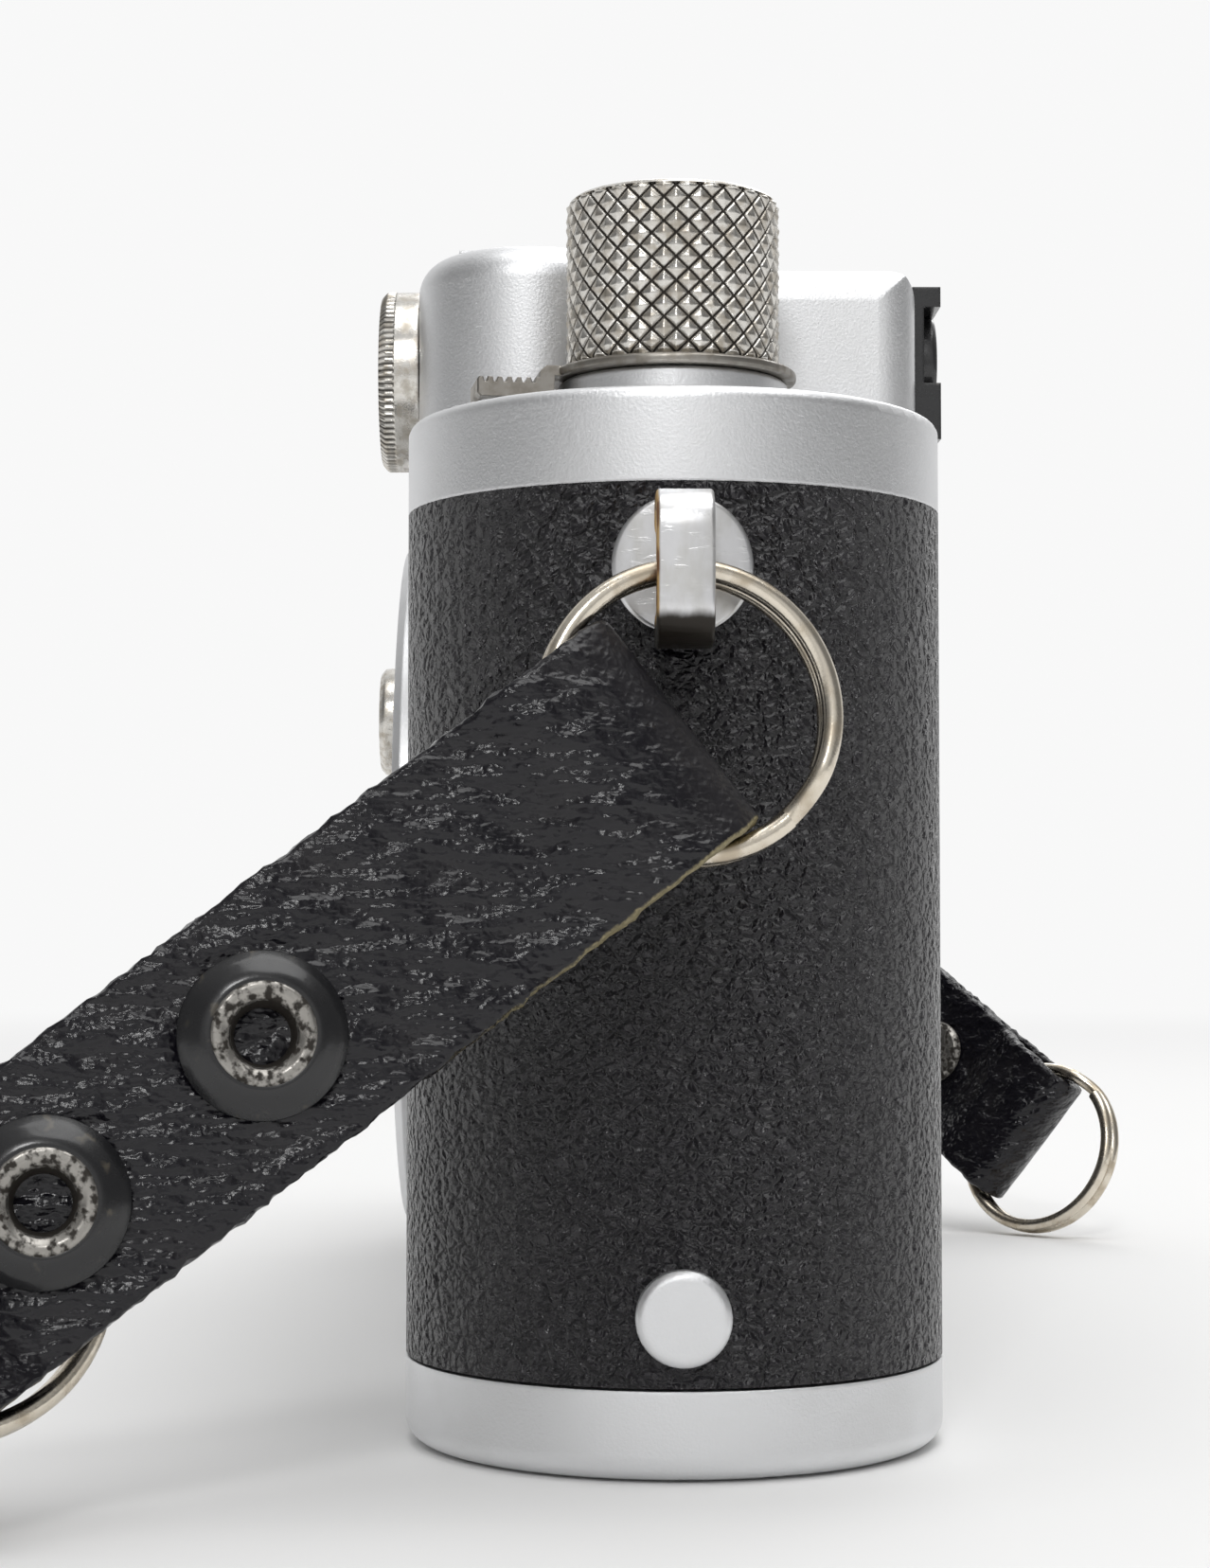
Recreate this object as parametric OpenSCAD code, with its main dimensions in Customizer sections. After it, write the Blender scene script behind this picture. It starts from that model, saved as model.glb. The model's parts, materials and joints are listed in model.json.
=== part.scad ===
// Rangefinder camera with a screw lens mount, cloth focal-plane shutter and
// two short leather strap tabs.  X runs along the body with the rewind end at
// +X, -Y is the front (lens) side and Z is up from the base plate's underside.

/* [Body] */
// Length of the body over its two round ends
body_len = 136; // [120:1:165]
// Thickness of the body, which is also the diameter of its round ends
body_thick = 29.5; // [29:0.5:36]
// Height of the removable base plate's rim
base_h = 4.6; // [4.2:0.1:6]
// Height of the leather covered wall between base plate and top cover
wall_h = 46.1; // [46:0.5:56]
// Height of the top cover's band
cover_h = 5; // [5:0.1:7]
// Sheet thickness of shell, cover and base plate
sheet_t = 1.2; // [1:0.1:1.6]
// Thickness of the leather covering
covering_t = 0.8; // [0.5:0.1:1.1]
// Gap between the base plate's rim and the shell above it
base_gap = 0.15; // [0.1:0.05:0.3]

/* [Lens mount] */
// Height of the lens axis above the underside
lens_z = 31; // [30.5:0.1:32]
// Outer diameter of the lens flange
flange_d = 49.4; // [46:0.2:52]
// Bore diameter of the lens thread
thread_d = 38.5; // [37:0.1:39]
// How far the flange's front stands out from the covering
flange_out = 2.75; // [1.5:0.05:4]
// Diameter of the flange's spigot through the body wall
spigot_d = 41.2; // [40.6:0.1:42.5]
// Size of the film gate along the film
gate_w = 36; // [30:0.5:37]
// Size of the film gate across the film
gate_h = 24; // [20:0.5:25]
// Distance from the flange's front to the film
register = 28.8; // [28:0.1:29]

/* [Rangefinder housing] */
// Left end of the housing
housing_x0 = -14; // [-14.5:0.5:-13.5]
// Right end of the housing
housing_x1 = 44.5; // [43:0.5:45]
// Height of the front bar above the top cover
bar_h = 12.8; // [11:0.1:15]
// Height of the rear block above the top cover
block_h = 11.2; // [10:0.1:13]
// Distance between the two rangefinder windows
rf_base = 39; // [36:0.5:39.5]
// Place of the rangefinder window by the rewind knob
rf_x = 33; // [32:0.5:34]
// Height of the windows' centres above the top cover
window_up = 6.3; // [6.1:0.1:6.6]
// Outer diameter of a round window bezel
bezel_d = 11.2; // [10:0.1:12]
// How far a bezel stands out from the housing
bezel_out = 2.5; // [2:0.1:3.5]
// Inner width of the accessory shoe
shoe_w = 18.6; // [18:0.1:19]
// Height of the accessory shoe's slot
shoe_slot = 2; // [1.8:0.1:2.4]
// Length of the accessory shoe along the slot
shoe_len = 15; // [13:0.5:17]

/* [Knobs and dials] */
// Diameter of the rewind knob
rewind_d = 12; // [10:0.1:12.6]
// Height of the rewind knob's knurled drum
rewind_h = 9.6; // [8:0.1:13]
// Diameter of the focusing lever's disc under the rewind knob
disc_d = 13.8; // [13:0.1:14.4]
// Diameter of the advance knob
advance_d = 18.6; // [15:0.2:20]
// Height of the advance knob
advance_h = 9; // [7:0.2:12]
// Diameter of the shutter speed dial
speed_d = 13; // [11:0.2:14]
// Diameter of the slow speed dial
slow_d = 13.6; // [11:0.2:14]
// Place of the slow speed dial along the body
slow_x = -33; // [-34:0.5:-32.5]
// Diameter of the shafts that carry the knobs and the drum
shaft_d = 4; // [3:0.1:4.4]
// Running clearance between a shaft and its hole
running = 0.05; // [0.02:0.01:0.1]

/* [Film transport and shutter] */
// Pitch size of the gear teeth
gear_module = 0.5; // [0.46:0.01:0.52]
// Teeth on the advance gear and on the sprocket gear
big_teeth = 32; // [30:1:32]
// Teeth on the curtain drum's gear
small_teeth = 16; // [14:1:16]
// Diameter of the film sprocket
sprocket_d = 11.6; // [10:0.1:12]
// Diameter of the curtain drum
drum_d = 9.4; // [8:0.1:9.6]
// Diameter of the take-up spool's core
spool_d = 11; // [9:0.1:13]
// Thickness of the chassis sheet parts
chassis_t = 1.2; // [1:0.1:1.3]

/* [Strap fittings] */
// Width of the strip that forms a strap lug
lug_w = 2.9; // [2.4:0.1:3.2]
// Clear depth inside a strap lug's loop
lug_clear = 3.8; // [3.6:0.1:4.6]
// Middle radius of the split rings
ring_r = 7.2; // [7:0.1:7.8]
// Radius of the split rings' wire
wire_r = 0.55; // [0.45:0.01:0.6]
// Width of a leather tab
tab_w = 12.8; // [10:0.1:12.8]
// Length of a leather tab from fold to fold
tab_len = 53; // [48:0.5:60]
// Thickness of one layer of the tabs' leather
tab_leather = 1.15; // [0.9:0.05:1.3]
// Diameter of a press stud on a tab
snap_d = 8.1; // [7:0.1:9]

/* [Hidden] */
$fn = 96;

// Colours
satin_chrome = [0.78, 0.79, 0.81];
bright_steel = [0.7, 0.69, 0.67];
black_leather = [0.07, 0.07, 0.075];
black_enamel = [0.04, 0.04, 0.045];
warm_nickel = [0.72, 0.67, 0.58];
dark_alloy = [0.25, 0.25, 0.27];
shutter_cloth = [0.1, 0.1, 0.1];
brass = [0.75, 0.6, 0.3];
clear_glass = [0.7, 0.85, 0.9, 0.5];

// General clearances
eps = 0.05;
slip = 0.2;

// Lens flange screws and the follower arm's slot
screw_hole_r = 0.85;
arm_slot_w = 5.2;

// Levels and faces of the body
end_r = body_thick / 2;
end_x = body_len / 2 - end_r;
tip_x = body_len / 2;
shell_r = end_r - covering_t;
inner_r = shell_r - sheet_t;
cover_z = base_h + wall_h;
top_z = cover_z + cover_h;
roof_z = top_z - sheet_t;
shell_z = base_h + base_gap;
plate_z = cover_z + chassis_t;
flange_y = -end_r - flange_out;
film_y = flange_y + register;

// Transport layout: each shaft stands a whole gear distance from the one before
advance_x = -end_x;
sprocket_y = film_y - sprocket_d / 2 - 2.2;
drum_y = film_y - drum_d / 2 - 4.2;
big_r = gear_module * big_teeth / 2;
small_r = gear_module * small_teeth / 2;
sprocket_x = advance_x + sqrt(pow(2 * big_r, 2) - pow(sprocket_y, 2));
drum_x = sprocket_x + sqrt(pow(big_r + small_r, 2) - pow(sprocket_y - drum_y, 2));
gear_z = plate_z + slip;
gear_t = roof_z - slip - gear_z;
pinion_r = 1.6;
crate_half = gate_w / 2 + 2.3;
crate_top = cover_z - eps;
crate_low = 9;
crate_front = -inner_r + 0.1;
crate_back = film_y - 0.1;
curtain_y = drum_y + drum_d / 2 + 0.2;
curtain_t = 0.3;
curtain_h = gate_h + 4;
roller_r = 2.5;
roller_y = curtain_y - roller_r - 0.2;
roller_x1 = crate_half + 4.2;
roller_x2 = roller_x1 + 6.2;
crate_shelf = 1.2;

// Rewind column
rewind_x = end_x;
disc_t = 0.6;
boss_h = 2.5;
boss_neck_r = 4;
disc_z = top_z + boss_h + eps;
knob_z = disc_z + disc_t + 0.1;
sleeve_r = shaft_d / 2 + 0.9;
fork_top = cover_z - 4.7;
fork_h = 3;
lever_reach = 11.2;
lever_tip_w = 3.6;
knob_cap = 2.1;

// Advance column
counter_r = advance_d / 2 + 1.2;
counter_z = top_z + 0.15;
counter_t = 2.1;
advance_z = counter_z + counter_t + 0.15;
spool_low = crate_low;

// Top controls
speed_z = top_z + 0.3;
speed_h = 6.4;
collar_r = 4.1;
collar_h = 3.1;
button_r = 2.5;
stem_r = 1.3;
button_z = top_z + 2.6;
reverse_x = sprocket_x + 2.2;
reverse_y = -9.6;

// Housing
bar_front = -end_r - 0.25;
bar_depth = 18.4;
lobe_r = 6.8;
bar_back = bar_front + bar_depth;
block_x0 = 2;
block_x1 = housing_x1 + 0.6;
block_y0 = -3.4;
block_back = end_r + 0.05;
housing_t = 1.2;
housing_side = 1.8;
housing_round = 2.1;
housing_corner = 2.4;
window_z = top_z + window_up;
view_x = rf_x - rf_base / 2;
view_w = 15;
view_h = 10.6;
glass_t = 1;
eye_x = 34;
eye_gap = 7;
eye_hole_r = 2.7;
eye_z = top_z + 6.4;
eye_w = 15.4;
shoe_t = 1;
shoe_y = bar_front + bar_depth / 2 + 0.2;
shoe_z = top_z + bar_h;
shoe_lip = 3;

// Slow speed dial
slow_z = cover_z - 5.7;
slow_plate_r = slow_d / 2 + 0.3;
slow_spigot_r = 5.4;
slow_out = 7;

// Base plate fittings
key_x = -end_x + 5;
key_r = 9.8;
key_t = 1.3;
key_recess = 0.3;
bail_r = 7.1;
bail_w = 1.4;
bail_t = 0.9;
bush_x = end_x - 6;
bush_r = 6;
bush_h = 5.6;
tripod_r = 2.95;
stud_z = base_h + 3.7;
stud_r = 2.45;
stud_neck_r = 1.2;
tongue_x = tip_x - 4.4;
tongue_t = 1;

// Strap lugs and rings
lug_z = cover_z - 4.6;
lug_plate_r = 3.75;
lug_plate_t = 0.9;
lug_strip = 0.9;
lug_h = 7.9;
lug_post_r = 1.3;
lug_face = tip_x + lug_plate_t;
cross_x = lug_face + lug_clear / 2;
cross_z = lug_z - 0.4;
near_turn = [-80.8, 36.7, -74.8];
far_turn = [98.1, 36, 85];
far_bend = 39.5;
fold_gap = 0.5;
pocket_in = 1.5;
pocket_wide = 2.05;
pocket_full = ring_r - 1;
pocket_end = ring_r + 2.2;
flat_from = ring_r + 3.4;
bend_from = fold_gap + ring_r + 1.8;
bend_run = tab_len - 2 * ring_r - 3.6;
stud_place = [tab_len / 2 - 0.5, tab_len - 2 * ring_r];
end_ring_tilt = 17.5;
end_ring_back = ring_r * cos(end_ring_tilt) + 2.1333;

// ---------------------------------------------------------------- helpers

// Half of a plate's section, with rounded upper and lower outer edges
module edge_profile(half, h, top, bottom) {
    translate([0, bottom])
        square([half, h - top - bottom]);
    if (top > 0) {
        square([half - top, h]);
        translate([half - top, h - top])
            circle(top);
    }
    if (bottom > 0) {
        square([half - bottom, h / 2]);
        translate([half - bottom, bottom])
            circle(bottom);
    }
}

module both_sides() {
    children();
    mirror([1, 0])
        children();
}

// Plate with two round ends, centred in X and Y and standing on Z = 0
module slab(size, top = 0, bottom = 0) {
    run = size.x - size.y;
    for (side = [-1, 1])
        translate([side * run / 2, 0, 0])
            rotate_extrude()
                edge_profile(size.y / 2, size.z, top, bottom);
    rotate([90, 0, 90])
        linear_extrude(run, center = true)
            both_sides()
                edge_profile(size.y / 2, size.z, top, bottom);
}

module round_box(depth, height, r) {
    square([depth - 2 * r, height], center = true);
    square([depth, height - 2 * r], center = true);
    for (sx = [-1, 1], sy = [-1, 1])
        translate([sx * (depth / 2 - r), sy * (height / 2 - r)])
            circle(r);
}

// Block with round upright corners and rounded upper edges
module soft_block(size, corner, edge) {
    intersection() {
        linear_extrude(size.z)
            round_box(size.x, size.y, corner);
        rotate([90, 0, 90])
            linear_extrude(size.x + 2, center = true)
                both_sides()
                    edge_profile(size.y / 2, size.z, edge, 0);
        rotate([90, 0, 0])
            linear_extrude(size.y + 2, center = true)
                both_sides()
                    edge_profile(size.x / 2, size.z, edge, 0);
    }
}

// Plate with the body's plan, drawn in by a margin on every side
module body_slab(margin, h, top = 0, bottom = 0) {
    slab([body_len - 2 * margin, body_thick - 2 * margin, h], top, bottom);
}

// Cylinder along Y that starts at the given point and runs towards +Y
module y_rod(at, r, l) {
    translate(at)
        rotate([-90, 0, 0])
            cylinder(h = l, r = r);
}

module z_rod(at, r, l) {
    translate(at)
        cylinder(h = l, r = r);
}

// Turned piece along Z from a list of [radius, height] steps
module turned(at, steps) {
    translate(at)
        rotate_extrude()
            polygon(concat([[0, steps[0].y]], steps, [[0, steps[len(steps) - 1].y]]));
}

// Toothed disc with straight flanked teeth, and its first tooth at angle phase
module gear(at, teeth, t, bore, phase) {
    pitch_r = gear_module * teeth / 2;
    tip_r = pitch_r + 0.8 * gear_module;
    root_r = pitch_r - 1.05 * gear_module;
    step = 360 / teeth;
    tooth = [[-0.3, root_r], [-0.09, tip_r], [0.09, tip_r], [0.3, root_r]];
    outline = [for (i = [0:teeth - 1], p = tooth)
        let(a = phase + (i + p.x) * step) p.y * [cos(a), sin(a)]];
    translate(at)
        difference() {
            linear_extrude(t)
                polygon(outline);
            translate([0, 0, -1])
                cylinder(h = t + 2, r = bore);
        }
}

// Space that the lens spigot takes through the walls behind the flange
module throat_cut(clear) {
    y_rod([0, -end_r - 1, lens_z], spigot_d / 2 + clear, end_r);
}

function flange_screw_places() = [for (a = [45:90:315])
    (flange_d / 2 + spigot_d / 2) / 2 * [cos(a), sin(a)] + [0, lens_z]];

module flange_screw_holes(r) {
    for (p = flange_screw_places())
        y_rod([p.x, -end_r - 1, p.y], r, 4);
}

// Holes in the two round ends for the lugs' posts and the base stud's neck
module end_holes() {
    depth = 6;
    for (s = [-1, 1])
        translate([s * (tip_x - 4), 0, lug_z])
            rotate([0, s * 90, 0])
                cylinder(h = depth, r = lug_post_r + running);
    translate([tip_x - 4, 0, stud_z])
        rotate([0, 90, 0])
            cylinder(h = depth, r = stud_neck_r + running);
}

// Slot that the rangefinder's follower arm passes and swings through
module arm_slot(z) {
    translate([-arm_slot_w / 2, -end_r + 2.3, z])
        cube([arm_slot_w, 5.4, 6]);
}

// ------------------------------------------------------------ body casing

module body_shell() {
    color(satin_chrome)
        difference() {
            translate([0, 0, shell_z])
                body_slab(covering_t, cover_z - shell_z);
            translate([0, 0, shell_z - 1])
                body_slab(covering_t + sheet_t, cover_z);
            throat_cut(slip);
            flange_screw_holes(screw_hole_r);
            y_rod([slow_x, -end_r - 1, slow_z], 1.6, 4);
            end_holes();
        }
}

module leather_covering() {
    color(black_leather)
        difference() {
            translate([0, 0, shell_z])
                body_slab(0, cover_z - shell_z);
            translate([0, 0, shell_z - 1])
                body_slab(covering_t, cover_z);
            throat_cut(slip);
            flange_screw_holes(screw_hole_r);
            y_rod([slow_x, -end_r - 1, slow_z], slow_spigot_r + 0.1, 2);
            end_holes();
        }
}

module top_cover() {
    color(satin_chrome)
        difference() {
            translate([0, 0, cover_z])
                body_slab(0, cover_h, 0.7);
            translate([0, 0, cover_z - 1])
                body_slab(sheet_t, cover_h + 1 - sheet_t);
            throat_cut(slip);
            z_rod([rewind_x, 0, roof_z - 1], sleeve_r + running, 4);
            z_rod([advance_x, 0, roof_z - 1], shaft_d / 2 + running, 4);
            z_rod([drum_x, drum_y, roof_z - 1], shaft_d / 2 + running, 4);
            z_rod([reverse_x, reverse_y, roof_z - 1], 1 + running, 4);
            z_rod([sprocket_x, sprocket_y, roof_z - 1], stem_r + slip, 4);
            arm_slot(roof_z - 1);
        }
}

module chassis_plate() {
    color(dark_alloy)
        difference() {
            translate([0, 0, cover_z])
                body_slab(sheet_t + slip, chassis_t);
            throat_cut(slip);
            z_rod([rewind_x, 0, cover_z - 1], sleeve_r + running, 4);
            z_rod([advance_x, 0, cover_z - 1], shaft_d / 2 + running, 4);
            z_rod([sprocket_x, sprocket_y, cover_z - 1], pinion_r + running, 4);
            z_rod([drum_x, drum_y, cover_z - 1], shaft_d / 2 + running, 4);
            arm_slot(cover_z - 1);
        }
}

// ------------------------------------------------------ rangefinder housing

// Front bar and rear block with rounded corners and upper edges
module housing_form() {
    bar_x = (housing_x0 + housing_x1) / 2;
    bar_run = housing_x1 - housing_x0;
    translate([bar_x, bar_front + lobe_r, top_z])
        slab([bar_run, 2 * lobe_r, bar_h], housing_round);
    translate([bar_x, (bar_front + bar_back) / 2, top_z])
        soft_block([bar_run - 2 * lobe_r, bar_depth, bar_h], housing_corner, housing_round);
    translate([(block_x0 + block_x1) / 2, (block_y0 + block_back) / 2, top_z])
        soft_block([block_x1 - block_x0, block_back - block_y0, block_h], housing_corner, housing_round);
}

// Hollow inside the housing, open towards the top cover
module housing_hollow() {
    lobe_end = 0.65 * lobe_r;
    bar_run = housing_x1 - housing_x0 - 2 * lobe_end;
    seat_run = housing_x1 - housing_x0 - 2 * lobe_r - 2 * housing_side;
    block_run = block_x1 - block_x0 - 2 * housing_side;
    translate([housing_x0 + lobe_end, bar_front + housing_side, top_z - 1])
        cube([bar_run, 2 * lobe_r - 2 * housing_side, bar_h + 1 - housing_t]);
    translate([housing_x0 + lobe_r + housing_side, bar_front + housing_side, top_z - 1])
        cube([seat_run, bar_depth - 2 * housing_side, bar_h + 1 - housing_t]);
    translate([block_x0 + housing_side, bar_back - housing_side - 1, top_z - 1])
        cube([block_run, block_back - bar_back + 1, block_h + 1 - housing_t]);
}

module rangefinder_housing() {
    color(satin_chrome)
        difference() {
            housing_form();
            housing_hollow();
            for (x = [rf_x, rf_x - rf_base])
                y_rod([x, bar_front - 1, window_z], bezel_d / 2 - 0.7 + running, 4);
            translate([view_x - view_w / 2 + 1.2, bar_front - 1, window_z - view_h / 2 + 1.2])
                cube([view_w - 2.4, 3, view_h - 2.4]);
            for (s = [-1, 1])
                y_rod([eye_x + s * eye_gap / 2, block_back - 2, eye_z], eye_hole_r + 0.5, 4);
            shoe_screw_holes(0.65);
        }
}

module bezel(x) {
    spigot_r = bezel_d / 2 - 0.7;
    bore_r = bezel_d / 2 - 1.4;
    translate([x, bar_front, window_z])
        rotate([90, 0, 0])
            rotate_extrude()
                polygon([[bore_r, -1.6], [spigot_r, -1.6], [spigot_r, 0], [bezel_d / 2, 0],
                    [bezel_d / 2, bezel_out - 0.4], [bezel_d / 2 - 0.4, bezel_out],
                    [bore_r + 0.3, bezel_out], [bore_r, bezel_out - 0.6]]);
}

module rf_bezels() {
    color(bright_steel)
        for (x = [rf_x, rf_x - rf_base])
            bezel(x);
}

module rf_window_glass() {
    color(clear_glass)
        for (x = [rf_x, rf_x - rf_base])
            y_rod([x, bar_front - bezel_out + 1, window_z], bezel_d / 2 - 1.4 - eps, glass_t);
}

module viewfinder_frame() {
    color(satin_chrome)
        difference() {
            union() {
                translate([view_x - view_w / 2, bar_front - 1, window_z - view_h / 2])
                    cube([view_w, 1, view_h]);
                translate([view_x - view_w / 2 + 1.3, bar_front - 0.5, window_z - view_h / 2 + 1.3])
                    cube([view_w - 2.6, 2.3, view_h - 2.6]);
            }
            translate([view_x - view_w / 2 + 2, bar_front - 2, window_z - view_h / 2 + 2])
                cube([view_w - 4, 6, view_h - 4]);
        }
}

module viewfinder_glass() {
    color(clear_glass)
        translate([view_x - view_w / 2 + 2 + eps, bar_front - 0.4, window_z - view_h / 2 + 2 + eps])
            cube([view_w - 4 - 2 * eps, glass_t, view_h - 4 - 2 * eps]);
}

module eyepiece_block() {
    low = eye_z - 5;
    color(black_enamel)
        difference() {
            union() {
                translate([eye_x - eye_w / 2, block_back, low])
                    cube([eye_w, 0.7, 9.2]);
                translate([eye_x - eye_w / 2, block_back, low])
                    cube([eye_w, 1.7, 3.4]);
                translate([eye_x - eye_w / 2, block_back, low + 8])
                    cube([eye_w, 1.7, 1.2]);
                for (s = [-1, 1])
                    y_rod([eye_x + s * eye_gap / 2, block_back - 1.6, eye_z], eye_hole_r + 0.45, 2.6);
            }
            for (s = [-1, 1])
                y_rod([eye_x + s * eye_gap / 2, block_back - 2, eye_z], eye_hole_r, 6);
        }
}

module rf_eyepiece_lens() {
    color(clear_glass)
        y_rod([eye_x - eye_gap / 2, block_back - 0.9, eye_z], eye_hole_r - eps, glass_t);
}

module focusing_eyepiece_lens() {
    color(clear_glass)
        y_rod([eye_x + eye_gap / 2, block_back - 0.4, eye_z], eye_hole_r - eps, glass_t);
}

// ------------------------------------------------------------ accessory shoe

module shoe_screw_holes(r) {
    for (sx = [-1, 1], sy = [-1, 1])
        z_rod([view_x + sx * 5.5, shoe_y + sy * 4.2, shoe_z - 2], r, 6);
}

module accessory_shoe() {
    outer = shoe_w + 2 * shoe_t;
    color(satin_chrome)
        difference() {
            translate([view_x - outer / 2, shoe_y - shoe_len / 2, shoe_z])
                cube([outer, shoe_len, 2 * shoe_t + shoe_slot]);
            translate([view_x - shoe_w / 2, shoe_y - shoe_len / 2 + shoe_t, shoe_z + shoe_t])
                cube([shoe_w, shoe_len, shoe_slot]);
            translate([view_x - shoe_w / 2 + shoe_lip, shoe_y - shoe_len / 2 - 1, shoe_z + shoe_t])
                cube([shoe_w - 2 * shoe_lip, shoe_len + 2, shoe_slot + 2 * shoe_t]);
            shoe_screw_holes(0.65);
            for (sx = [-1, 1], sy = [-1, 1])
                translate([view_x + sx * 5.5, shoe_y + sy * 4.2, shoe_z + shoe_t - 0.6])
                    cylinder(h = 2, r = 1.25);
        }
}

module shoe_screws() {
    color(bright_steel)
        for (sx = [-1, 1], sy = [-1, 1])
            turned([view_x + sx * 5.5, shoe_y + sy * 4.2, shoe_z],
                [[0.6, -1.7], [0.6, shoe_t - 0.6], [1.2, shoe_t - 0.6], [1.2, shoe_t - 0.05]]);
}

// ---------------------------------------------------------------- lens mount

module lens_flange() {
    chamfer = 0.5;
    collar_back = sheet_t + covering_t - 0.1;
    color(satin_chrome)
        difference() {
            translate([0, -end_r, lens_z])
                rotate([90, 0, 0])
                    rotate_extrude()
                        polygon([[thread_d / 2, -collar_back], [spigot_d / 2, -collar_back],
                            [spigot_d / 2, eps], [flange_d / 2, eps],
                            [flange_d / 2, flange_out - chamfer], [flange_d / 2 - chamfer, flange_out],
                            [thread_d / 2 + 0.3, flange_out], [thread_d / 2, flange_out - 0.3]]);
            for (p = flange_screw_places()) {
                y_rod([p.x, flange_y - 1, p.y], screw_hole_r, 8);
                y_rod([p.x, flange_y - 1, p.y], 1.45, 1.8);
            }
        }
}

module flange_screws() {
    color(bright_steel)
        for (p = flange_screw_places())
            translate([p.x, flange_y, p.y])
                rotate([-90, 0, 0])
                    turned([0, 0, 0], [[1.4, 0.05], [1.4, 0.75], [0.8, 0.75], [0.8, flange_out + 1.8]]);
}

// ----------------------------------------------------------------- dials

module slow_dial_plate() {
    color(satin_chrome)
        difference() {
            union() {
                y_rod([slow_x, -end_r - 0.6, slow_z], slow_plate_r, 0.6 - eps);
                y_rod([slow_x, -end_r - 0.3, slow_z], slow_spigot_r, covering_t + 0.3 - eps);
            }
            y_rod([slow_x, -end_r - 2, slow_z], 1.6, 6);
        }
}

module slow_speed_dial() {
    r = slow_d / 2;
    color(bright_steel)
        translate([slow_x, -end_r, slow_z])
            rotate([90, 0, 0])
                turned([0, 0, 0], [[1.5, -covering_t - sheet_t - 0.6], [1.5, 1.1], [r - 0.6, 1.1],
                    [r, 1.5], [r, 4.2], [r - 0.7, 4.9], [r - 2.2, 4.9], [r - 2.2, slow_out - 0.4],
                    [r - 2.6, slow_out]]);
}

module speed_dial() {
    r = speed_d / 2;
    color(bright_steel)
        difference() {
            turned([drum_x, drum_y, speed_z], [[r - 0.5, 0], [r, 0.5], [r, 3.2], [r - 0.5, 3.6],
                [r - 0.5, speed_h - 0.6], [r - 1.1, speed_h]]);
            z_rod([drum_x, drum_y, speed_z - 1], shaft_d / 2 + running, speed_h - 1);
        }
}

module frame_counter_dial() {
    color(satin_chrome)
        difference() {
            turned([advance_x, 0, counter_z], [[counter_r, 0], [counter_r, 0.7],
                [advance_d / 2 - 0.6, counter_t]]);
            z_rod([advance_x, 0, counter_z - 1], shaft_d / 2 + running, counter_t + 2);
        }
}

// --------------------------------------------------------- rewind column

module rewind_knob() {
    r = rewind_d / 2;
    color(bright_steel)
        difference() {
            turned([rewind_x, 0, knob_z], [[r - 0.3, 0], [r, 0.3], [r, rewind_h - 0.5],
                [r - 0.5, rewind_h]]);
            z_rod([rewind_x, 0, knob_z - 1], sleeve_r + slip, 2.8);
            z_rod([rewind_x, 0, knob_z - 1], shaft_d / 2 + 0.01, rewind_h - 1);
        }
}

module rewind_shaft() {
    low = fork_top - fork_h;
    high = knob_z + rewind_h - knob_cap;
    color(bright_steel)
        difference() {
            union() {
                z_rod([rewind_x, 0, low], shaft_d / 2, high - low);
                z_rod([rewind_x, 0, low], sleeve_r, fork_h);
            }
            translate([rewind_x - 0.9, -5, fork_top - fork_h - 1])
                cube([1.8, 10, fork_h]);
        }
}

module rewind_sleeve() {
    color(brass)
        difference() {
            z_rod([rewind_x, 0, fork_top + 0.1], sleeve_r, top_z + boss_h - fork_top - 0.1);
            z_rod([rewind_x, 0, fork_top - 1], shaft_d / 2 + running, 40);
        }
}

module rewind_boss() {
    color(satin_chrome)
        difference() {
            turned([rewind_x, 0, top_z], [[disc_d / 2 - 0.5, 0], [disc_d / 2 - 0.5, boss_h - 0.2],
                [disc_d / 2 - 0.7, boss_h], [boss_neck_r, boss_h], [boss_neck_r, boss_h + disc_t]]);
            z_rod([rewind_x, 0, top_z - 1], sleeve_r + running, 8);
        }
}

module focusing_lever() {
    arm_turn = 8;
    color(bright_steel)
        difference() {
            union() {
                z_rod([rewind_x, 0, disc_z], disc_d / 2, disc_t);
                translate([rewind_x, 0, disc_z])
                    rotate([0, 0, arm_turn])
                        lever_arm();
            }
            z_rod([rewind_x, 0, disc_z - 2], boss_neck_r + running, 4);
        }
}

// Arm of the focusing lever, pointing to -Y, with its lowered serrated tip
module lever_arm() {
    notch = 0.5;
    drop = 1.2;
    half = lever_tip_w / 2;
    translate([-half - 0.5, -disc_d / 2 - 0.6, 0])
        cube([lever_tip_w + 1, 3.5, disc_t]);
    translate([-half, -disc_d / 2 - 0.8, -drop])
        cube([lever_tip_w, 0.8, drop + disc_t]);
    difference() {
        translate([-half, -lever_reach, -drop])
            cube([lever_tip_w, lever_reach - disc_d / 2, 1.1]);
        for (i = [0:5])
            translate([-half - 1, -lever_reach + 0.25 + i * 0.55, -drop + 0.8])
                cube([lever_tip_w + 2, 0.25, notch]);
    }
}

// --------------------------------------------------------- advance column

module advance_knob() {
    r = advance_d / 2;
    color(bright_steel)
        difference() {
            turned([advance_x, 0, advance_z], [[r - 0.5, 0], [r - 0.5, 0.8], [r, 1],
                [r, advance_h - 0.7], [r - 0.7, advance_h]]);
            z_rod([advance_x, 0, advance_z - 1], shaft_d / 2 + 0.01, advance_h - 1);
        }
}

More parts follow.
